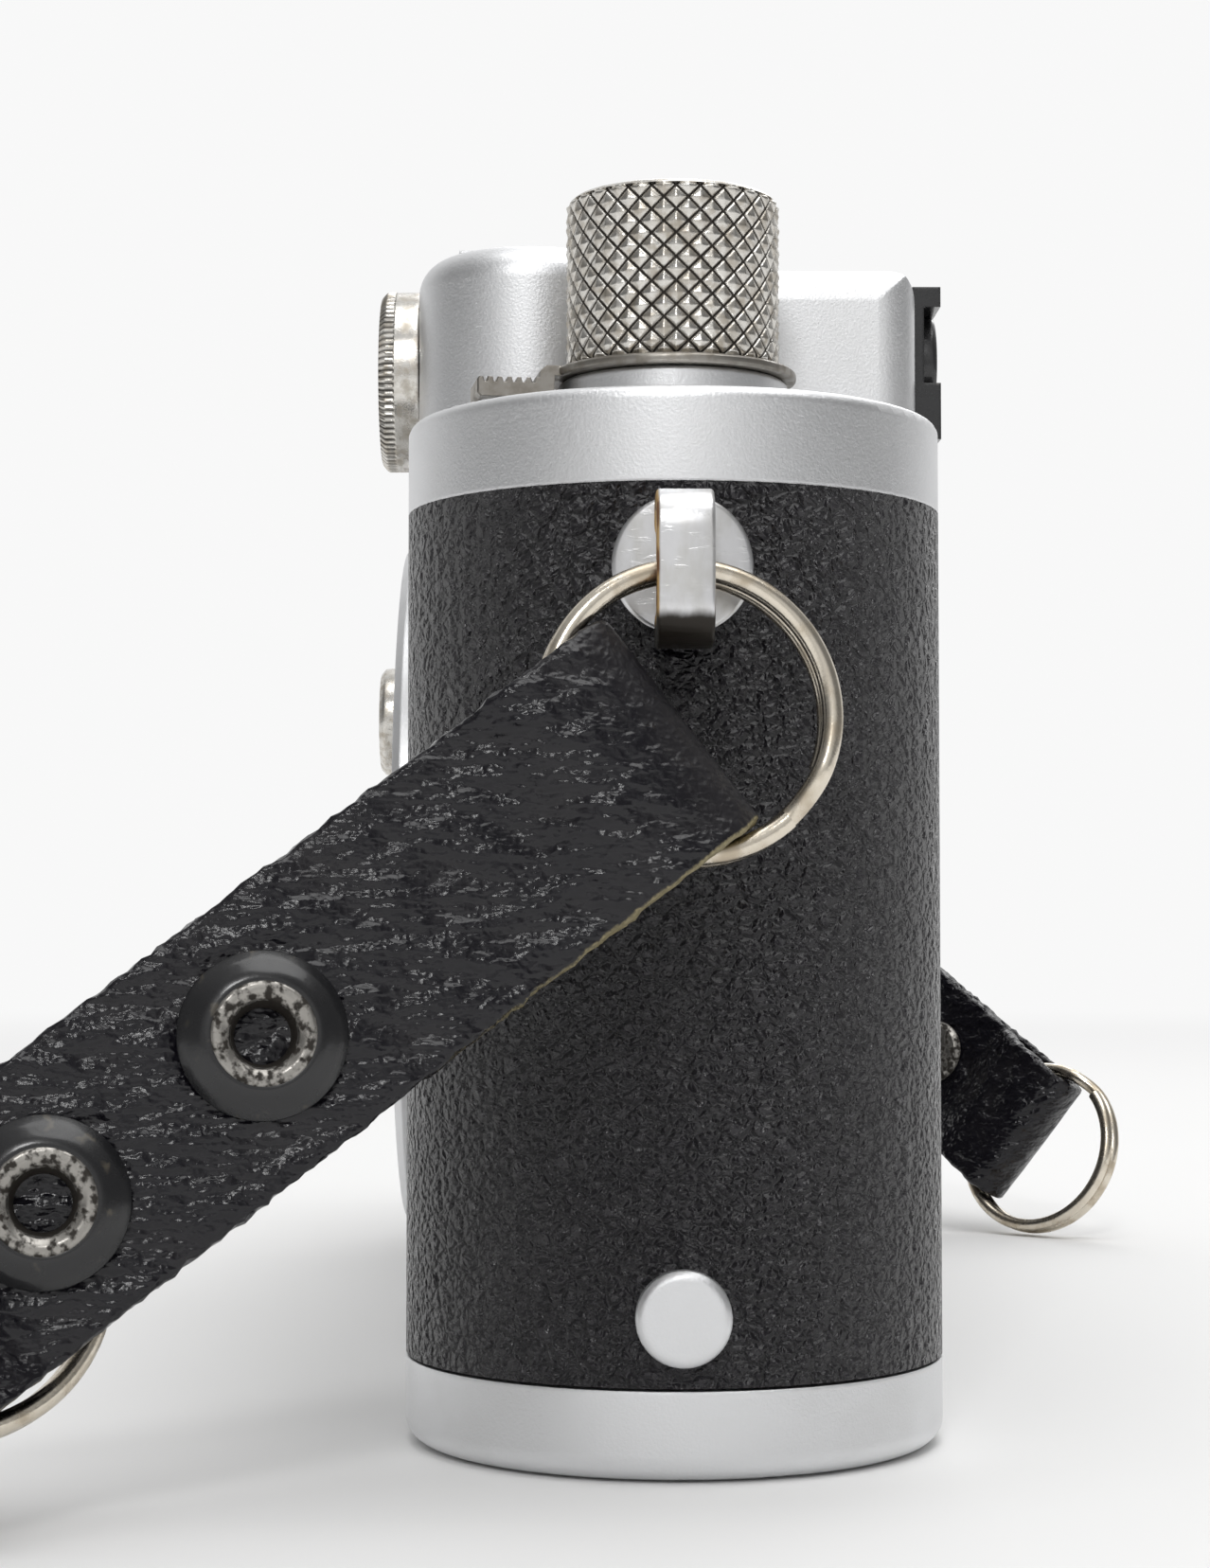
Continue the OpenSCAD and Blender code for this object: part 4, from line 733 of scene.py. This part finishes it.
side_view = [(4.9, 0.02), (4.9, 0.58), (7.35, 0.58), (7.68, 0.3), (7.72, -0.1)]
for i in range(6):
    y = 7.86 + notch_pitch * i
    side_view += [(y, -0.1), (y + 0.1, -0.4), (y + 0.26, -0.4), (y + 0.36, -0.1)]
side_view += [(tip_end - 0.1, -0.12), (tip_end, -0.25), (tip_end, -1.02), (tip_end - 0.2, -1.2),
              (7.15, -1.2), (6.95, -1.05), (6.9, 0.02)]
arm = lever @ Matrix.Rotation(math.radians(8), 4, "Z")
arm_points = []
for x, inset in ((-tip_w / 2, 0.1), (-tip_w / 2 + 0.1, 0), (tip_w / 2 - 0.1, 0), (tip_w / 2, 0.1)):
    for y, z in side_view:
        shrink = 1 - inset / 2.2 if y > 7.8 else 1
        drawn_in = tip_middle + (Vector((y, z)) - tip_middle) * shrink
        arm_points.append(arm @ Vector((x, -drawn_in.x, drawn_in.y)))
arm_faces = grid_faces(4, len(side_view), False, True, capped=True)
points, faces = gathered([(disc_points, disc_faces), (arm_points, arm_faces)])
built("focusing_lever_arm", points, faces, dark_nickel, "focusing", "bright_steel", ("focusing_lever",))

# ---------------------------------------------------------------- base stud
# A turned button with a fine chamfer, riveted into the body's round end.  The base plate
# hooks on its neck.
tip_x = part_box("body_shell")[1].x
stud_low, stud_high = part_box("base_stud")
stud_r = (stud_high.z - stud_low.z) / 2 / mm
stud_face = (stud_high.x - tip_x) / mm


def facing_end(x, y, z):
    """A frame at a point whose Z looks out of the rewind end, with its X pointing down."""
    return Matrix.Translation((x, y, z)) @ Matrix.Rotation(math.pi / 2, 4, "Y")


stud = facing_end(tip_x, 0, (stud_high.z + stud_low.z) / 2) @ milli
stud_outline = eased([(0.001, -5), (1.2, -5), (1.2, -0.35), (stud_r, -0.35), (stud_r, stud_face - 0.3),
                      (stud_r - 0.28, stud_face - 0.04), (stud_r - 0.5, stud_face),
                      (0.001, stud_face)], 0.08)
points, faces, depth = turned(stud_outline, 120, stud)
built("base_stud_button", points, faces, chrome, "camera_body", "satin_chrome", ("base_stud",))

# ---------------------------------------------------------------- strap lugs
# Each lug is a round saddle plate that follows the body's end and an arched strip, both of
# chromed brass.  The rings have scuffed the strip, and brass shows along one edge.
# The strip's lower end is painted near black: painted shade and painted reflection of the dark leather below it.
worn = Finish("worn_lug", (0.7, 0.7, 0.7), metallic=1.0, roughness=0.3)
rub = worn.cloud(1.1 * mm, worn.place((1, 1, 0.5)), detail=5.0)
edge_wear = (worn.mark("edge") + 0.3 * rub - 0.15).steps(0.4, 0.75)
# Painted shade towards the strip's lower end, broken up a little by the rub noise.
soot = (worn.mark("soot") + 0.4 * rub - 0.2).steps(0.2, 0.7)
scratches = worn.cloud(0.35 * mm, worn.place((1, 0.25, 1)), detail=4.0).steps(0.55, 0.7)
worn_metal = worn.blend(rub.steps(0.35, 0.7), (0.72, 0.72, 0.73), (0.6, 0.595, 0.58))
rust = worn.blend(rub.steps(0.45, 0.6), (0.5, 0.33, 0.14), (0.2, 0.1, 0.045))
# Where the painted shade lies, the colour goes near black and the metal turns matt.
worn.set(Base_Color=worn.blend(soot, worn.blend(edge_wear, worn_metal, rust), (0.02, 0.016, 0.012)))
worn.set(Metallic=1 - 0.45 * edge_wear - 0.5 * soot, Roughness=0.28 + 0.16 * rub + 0.15 * edge_wear)
worn.relief(rub + 0.4 * scratches, 0.02 * mm)

lug_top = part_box("strap_lug_near")[1].z / mm
plate_r = 3.75
plate_t = 0.9
end_r = 14.77
strip_t = 0.9
strip_w = 2.9
lug_z = lug_top - 3.45


def swept(stations, section, close=False):
    """Carries a section along stations, each a point with its two cross directions."""
    points = [at + side * a + up * b for at, side, up in stations for a, b in section]
    return points, grid_faces(len(stations), len(section), close, True, capped=not close)


def rounded_box(wide, high, radius, steps=5):
    """A closed section with rounded corners."""
    section = []
    for corner in range(4):
        middle = math.pi / 2 * corner
        cx = (wide / 2 - radius) * (1 if corner in (0, 3) else -1)
        cy = (high / 2 - radius) * (1 if corner in (0, 1) else -1)
        for i in range(steps):
            a = middle + math.pi / 2 * i / (steps - 1)
            section.append((cx + radius * math.cos(a), cy + radius * math.sin(a)))
    return section


def lug(side):
    """Saddle plate and arched strip at one end of the body, in millimetres."""
    plate_outline = eased([(0.001, 0.0), (plate_r, 0.0), (plate_r, plate_t - 0.3),
                           (plate_r - 0.25, plate_t), (0.001, plate_t)], 0.12)
    plate = []
    for i in range(96):
        angle = math.tau * i / 96
        for radius, height in dense(plate_outline, 0.4):
            y = radius * math.cos(angle)
            z = radius * math.sin(angle)
            out = math.sqrt((end_r + height) ** 2 - y ** 2)
            plate.append(Vector((tip_x / mm - 14.75 + out, y, lug_z + z)))
    columns = len(dense(plate_outline, 0.4))
    plate_faces = grid_faces(96, columns, True, False)
    middle = Vector((tip_x / mm + 2.8, 0, lug_z - 0.5))
    arch = [Vector(p) for p in rounded_box(4.7, 7.0, 1.65, 9)]
    loop = dense(arch + arch[:1], 0.35)[:-1]
    stations = []
    for i, p in enumerate(loop):
        ahead = loop[(i + 1) % len(loop)] - loop[i - 1]
        out = Vector((ahead.y, 0, -ahead.x)).normalized()
        stations.append((middle + Vector((p.x, 0, p.y)), Vector((0, 1, 0)), out))
    strip_section = rounded_box(strip_w, strip_t, 0.2, 4)
    strip, strip_faces = swept(stations, strip_section, close=True)
    points, faces = gathered([(plate, plate_faces), (strip, strip_faces)])
    turn = Matrix.Rotation(0 if side > 0 else math.pi, 4, "Z") @ milli
    wear = [0.0] * len(plate) + [min(1, max(0, -3 * p.y - 3.4)) for p in strip]
    # Mark for the painted shade: rises to 1 towards the lower end of the strip.
    dark = [0.0] * len(plate) + [min(1, max(0, (middle.z - 1.9 - p.z) / 1.2)) for p in strip]
    return [turn @ p for p in points], faces, {"edge": wear, "soot": dark}


for name, side in (("near", 1), ("far", -1)):
    points, faces, marks = lug(side)
    built("lug_" + name, points, faces, worn, "camera_body", "worn_lug", ("strap_lug_" + name,), marks)

# ---------------------------------------------------------------- split rings
# Each ring is two turns of nickelled spring wire.  One step joins the turns, and the wire's
# two flush ends meet at it.
nickel = Finish("ring_nickel", (0.66, 0.6, 0.5), metallic=1.0, roughness=0.2)
dull = nickel.cloud(1.6 * mm, detail=4.0).steps(0.4, 0.7)
drawn = nickel.cloud(0.25 * mm, detail=3.0)
nickel.set(Base_Color=nickel.blend(dull, (0.72, 0.66, 0.56), (0.5, 0.43, 0.33)))
nickel.set(Roughness=0.16 + 0.14 * dull + 0.1 * drawn)
nickel.relief(drawn, 0.008 * mm)
mounts = {mount["name"]: mount for mount in frame["record"]["mounts"]}
ring_r = 7.2
wire_r = 0.53
coil_shift = 0.535
step_run = math.radians(26)


def axis_frame(place, along, towards):
    """A frame at a place with its Z along an axis and its X towards a direction."""
    w = Vector(along).normalized()
    u = Vector(towards) - w * Vector(towards).dot(w)
    u.normalize()
    return Matrix.Translation(place) @ Matrix((u, w.cross(u), w)).transposed().to_4x4()


def split_ring(placed, step_at):
    """Two turns of wire round Z that change places over a short run."""
    stations = []
    half = step_run / 2
    section = [(wire_r * math.cos(a), wire_r * math.sin(a)) for a in np.arange(14) * math.tau / 14]
    for turn in np.linspace(half, 2 * math.tau - half, 260):
        crossed = (turn - math.tau + half) / step_run
        crossed = min(max(crossed, 0), 1)
        shift = coil_shift * (2 * crossed ** 2 * (3 - 2 * crossed) - 1)
        a = turn + step_at
        out = Vector((math.cos(a), math.sin(a), 0))
        stations.append((out * ring_r + Vector((0, 0, shift)), out, Vector((0, 0, 1))))
    points, faces = swept(stations, section)
    return [placed @ milli @ p for p in points], faces


rings = (("split_ring_near", "near_ring", "near_tab_slide_round", (0, 0.82, -0.57)),
         ("split_ring_far", "far_ring", "far_tab_slide_round", (0, 0.5, -0.8)),
         ("end_ring_near", "near_end_ring", "near_end_ring_turn", (0, -0.6, 0.8)),
         ("end_ring_far", "far_end_ring", "far_end_ring_turn", (0, 0.7, 0.7)))
for node, body, joint, step_towards in rings:
    placed = axis_frame(joints[joint]["pos_m"], joints[joint]["axis"], step_towards)
    points, faces = split_ring(placed, 0)
    built(node + "_wire", points, faces, nickel, body, "ring_nickel", (node,))

# ---------------------------------------------------------------- leather strap tabs
# Each tab is one band of black glazed leather.  It is folded round the split ring and round
# the end ring, with its two ends meeting at the back between the press studs that hold it.
strap = Finish("strap_leather", (0.01, 0.0095, 0.012), roughness=0.3, Specular_IOR_Level=0.4)
raw = strap.mark("raw")
matt = strap.mark("matt")
pores = strap.cells(0.5 * mm).steps(0.0, 0.5)
crinkle = strap.cloud(2.6 * mm, strap.place((1, 0.6, 1.3)), detail=2.0)
wrinkle = strap.cloud(1.0 * mm, strap.place((1, 0.5, 1.2)), detail=2.0)
fibre = strap.cloud(0.22 * mm, detail=4.0, roughness=0.7)
glaze = (crinkle + 0.4 * wrinkle - 0.2 - 0.3 * matt).steps(0.25, 0.6)
bare = (raw + 0.5 * fibre - 0.25).steps(0.4, 0.75)
black_skin = strap.blend(glaze, (0.011, 0.01, 0.012), (0.006, 0.0055, 0.008))
flesh = strap.blend(fibre, (0.06, 0.05, 0.03), (0.42, 0.36, 0.2))
strap.set(Base_Color=strap.blend(bare, black_skin, flesh))
strap.set(Roughness=0.22 - 0.08 * glaze + 0.3 * bare + 0.2 * matt)
folds = (0.55 * crinkle + 0.3 * wrinkle - 0.42) * (1 - 0.7 * matt)
strap.relief(folds + 0.02 * pores + 0.03 * fibre * (0.4 + bare), 1.6 * mm)

fold_gap = 0.5
tab_len = 53.0
tab_end = fold_gap + tab_len
tab_w = 12.6
leather = 1.15
ring_pocket = 2.65
ring_nose = 4.5
bend_from = 9.5
bend_run = 35.0
stud_places = (26.0, 38.6)
back_seam = fold_gap + sum(stud_places) / 2


def turned_by(x, bend):
    """The angle by which a tab has turned at a place along it."""
    return bend * min(max(x - bend_from, 0), bend_run) / bend_run


def bent(x, z, bend):
    """A point of a tab's side view once the tab's middle stretch is bent."""
    if not bend:
        return Vector((x, 0, z))
    a = turned_by(x, bend)
    rate = bend / bend_run
    lead = min(x, bend_from)
    tail = max(x - bend_from - bend_run, 0)
    return Vector((lead + math.sin(a) / rate + tail * math.cos(a) - z * math.sin(a), 0,
                   (1 - math.cos(a)) / rate + tail * math.sin(a) + z * math.cos(a)))


def layer_height(x, far_pocket):
    """Height of the outer face over the middle of a folded tab."""
    def swell(gap, pocket, nose):
        if gap < nose:
            return pocket * math.sqrt(max(1 - (1 - gap / nose) ** 2, 0))
        eased_gap = min(max((gap - 6) / 4.6, 0), 1)
        return pocket + (leather - pocket) * eased_gap ** 2 * (3 - 2 * eased_gap)
    if x < back_seam:
        return swell(x - fold_gap, ring_pocket, ring_nose)
    return swell(tab_end - x, far_pocket, far_pocket)


def tab_path(far_pocket):
    """The middle of the leather from the seam at the back, round both folds and back to it."""
    run = []
    half = leather / 2
    folds = ((tab_end - far_pocket, far_pocket - half, far_pocket - half, 1),
             (fold_gap + ring_nose, ring_nose - half, ring_pocket - half, -1))
    x = back_seam + 0.5
    while x < folds[0][0]:
        run.append((x, half - layer_height(x, far_pocket)))
        x += 0.45
    for middle, long, radius, side in folds:
        for a in np.linspace(-90, 90, 19):
            turn = math.radians(a)
            run.append((middle + side * long * math.cos(turn), side * radius * math.sin(turn)))
        if side > 0:
            run += [(x, layer_height(x, far_pocket) - half)
                    for x in np.arange(middle - 0.4, folds[1][0] + 0.2, -0.45)]
    run += [(x, half - layer_height(x, far_pocket))
            for x in np.arange(folds[1][0] + 0.4, back_seam - 0.5, 0.45)]
    return run


def leather_tab(placed, far_pocket, bend, seed):
    """A folded band of leather with ragged edges, one of them worn bare near its ring."""
    stations = []
    path = tab_path(far_pocket)
    for i, (x, z) in enumerate(path):
        before = bent(*path[max(i - 1, 0)], bend)
        after = bent(*path[min(i + 1, len(path) - 1)], bend)
        run = (after - before).normalized()
        stations.append((bent(x, z, bend), Vector((0, 1, 0)), Vector((-run.z, 0, run.x))))
    thick = leather - 0.06
    corner = 0.3
    flat_run = np.linspace(-1, 1, 27)[1:-1] * (tab_w / 2 - corner)
    ends = [(tab_w / 2 - corner + corner * math.cos(a), thick / 2 - corner + corner * math.sin(a))
            for a in (math.pi / 2, math.pi / 4, 0)]
    right = ends + [(y, -z) for y, z in ends[::-1]]
    left = [(-y, z) for y, z in right[::-1]]
    section = [(y, thick / 2) for y in flat_run] + right
    section += [(y, -thick / 2) for y in flat_run[::-1]] + left
    points, raw_marks, matt_marks = [], [], []
    for (x, z), (at, side, up) in zip(path, stations):
        near_fold = max(0, 1 - (x - fold_gap) / 16) + max(0, 1 - (tab_end - x) / 14)
        for y, h in section:
            spot = Vector((x * 0.35, y * 0.16, seed + (3 if z > 0 else 0)))
            crease = noise.fractal(spot * 1.5, 0.8, 2.1, 3)
            cockle = noise.noise(spot * 0.9)
            edge = abs(y) / (tab_w / 2)
            ragged = noise.fractal(Vector((x * 1.5, h, seed + (7 if y > 0 else 0))), 0.7, 2.2, 4)
            wide = y * (1 + 0.028 * ragged * edge ** 6)
            lift = 0.1 * cockle + (0.05 + 0.1 * near_fold) * crease
            outside = h > 0
            flare = 0.12 * edge ** 4 * noise.noise(Vector((x * 0.25, seed, 1 if y > 0 else 2)))
            points.append(at + side * wide + up * (h + lift * (1 if outside else 0.4) + flare))
            worn_edge = max(0.3, 1.15 - (x - fold_gap) / 30) if y > 0 else 0.3
            raw_marks.append(min(1, max(0, (edge - 0.93) * 14)) * worn_edge)
            matt_marks.append(min(1, max(0, 1.6 - abs(x - fold_gap) / 2.2)))
    faces = grid_faces(len(stations), len(section), False, True, capped=True)
    return [placed @ p for p in points], faces, {"raw": raw_marks, "matt": matt_marks}


stud_black = Finish("stud_enamel", (0.012, 0.012, 0.013), roughness=0.18, Coat_Weight=0.15)
rubbed = stud_black.cloud(1.2 * mm, detail=5.0)
rubbed_through = rubbed.steps(0.62, 0.72) * 0.5
stud_black.set(Base_Color=stud_black.blend(rubbed_through, (0.011, 0.011, 0.012), (0.1, 0.085, 0.06)))
stud_black.set(Roughness=0.16 + 0.2 * rubbed)
stud_black.relief(rubbed, 0.03 * mm)
eyelet = Finish("stud_eyelet", (0.62, 0.6, 0.56), metallic=1.0, roughness=0.25)
spot_rust = eyelet.cloud(0.5 * mm, detail=5.0)
# Inside the eyelet's shallow hole the colour goes near black and loses its metal: painted shade. The spots from
# spot_rust are real rust.
rust_and_hole_shade = (eyelet.mark("grime") + 1.5 * spot_rust - 0.6).steps(0.05, 0.3)
eyelet.set(Base_Color=eyelet.blend(rust_and_hole_shade, (0.36, 0.345, 0.32), (0.018, 0.014, 0.01)))
eyelet.set(Metallic=1 - 0.9 * rust_and_hole_shade, Roughness=0.28 + 0.2 * spot_rust + 0.35 * rust_and_hole_shade)
eyelet.relief(spot_rust, 0.03 * mm)
cap_outline = eased([(1.55, 1.33), (4.0, 1.33), (4.05, 1.5), (3.6, 1.95), (2.95, 2.4), (2.6, 2.52),
                     (2.35, 2.45), (1.55, 2.2), (1.55, 1.33)], 0.15)
eyelet_outline = eased([(0.001, 0.93), (1.3, 0.93), (1.42, 1.6), (1.62, 2.35), (2.0, 2.62), (2.4, 2.6),
                        (2.55, 2.4), (2.5, 1.6), (1.45, 1.5), (1.45, -1.33), (3.0, -1.33), (2.95, -1.5),
                        (2.6, -1.93), (0.001, -1.93)], 0.12)


def stud_frames(placed, bend, side):
    """Where the press studs sit on a tab; their caps point to one of its two sides."""
    for place in stud_places:
        x = fold_gap + place
        turn = Matrix.Rotation(-turned_by(x, bend), 4, "Y")
        flip = Matrix.Rotation(0 if side > 0 else math.pi, 4, "X")
        yield placed @ Matrix.Translation(bent(x, 0, bend)) @ turn @ flip


far_bend = math.radians(39.5)
for name, far_pocket, bend, side, seed in (("near", 3.2, 0, 1, 2.0), ("far", 2.65, far_bend, -1, 11.0)):
    slide = joints[name + "_tab_slide_round"]
    end_mount = Vector(mounts[name + "_strap_ring"]["pos_m"])
    towards = end_mount - Vector(slide["pos_m"])
    tab_place = axis_frame(slide["pos_m"], slide["axis"], towards) @ milli
    points, faces, marks = leather_tab(tab_place, far_pocket, bend, seed)
    tab = built("tab_" + name, points, faces, strap, name + "_tab", "strap_leather",
                ("leather_tab_" + name,), marks, crease=3.2)
    for i, at in enumerate(stud_frames(tab_place, bend, side), 1):
        points, faces, depth = turned(cap_outline, 96, at, ring=True)
        label = name + "_" + str(i)
        stands_for = ("tab_studs_" + name,) if i == 1 else ()
        built("stud_cap_" + label, points, faces, stud_black, name + "_tab",
                           "black_enamel", stands_for)
        points, faces, depth = turned(eyelet_outline, 96, at)
        # Marks the hole's floor and lower wall for the painted shade.
        grime = np.array([[1.0 if radius < 1.5 and height < 2.2 and height > 0 else 0.0
                           for radius, height in eyelet_outline]] * 96)
        built("stud_eyelet_" + label, points, faces, eyelet, name + "_tab", "bright_steel",
                           marks={"grime": grime})
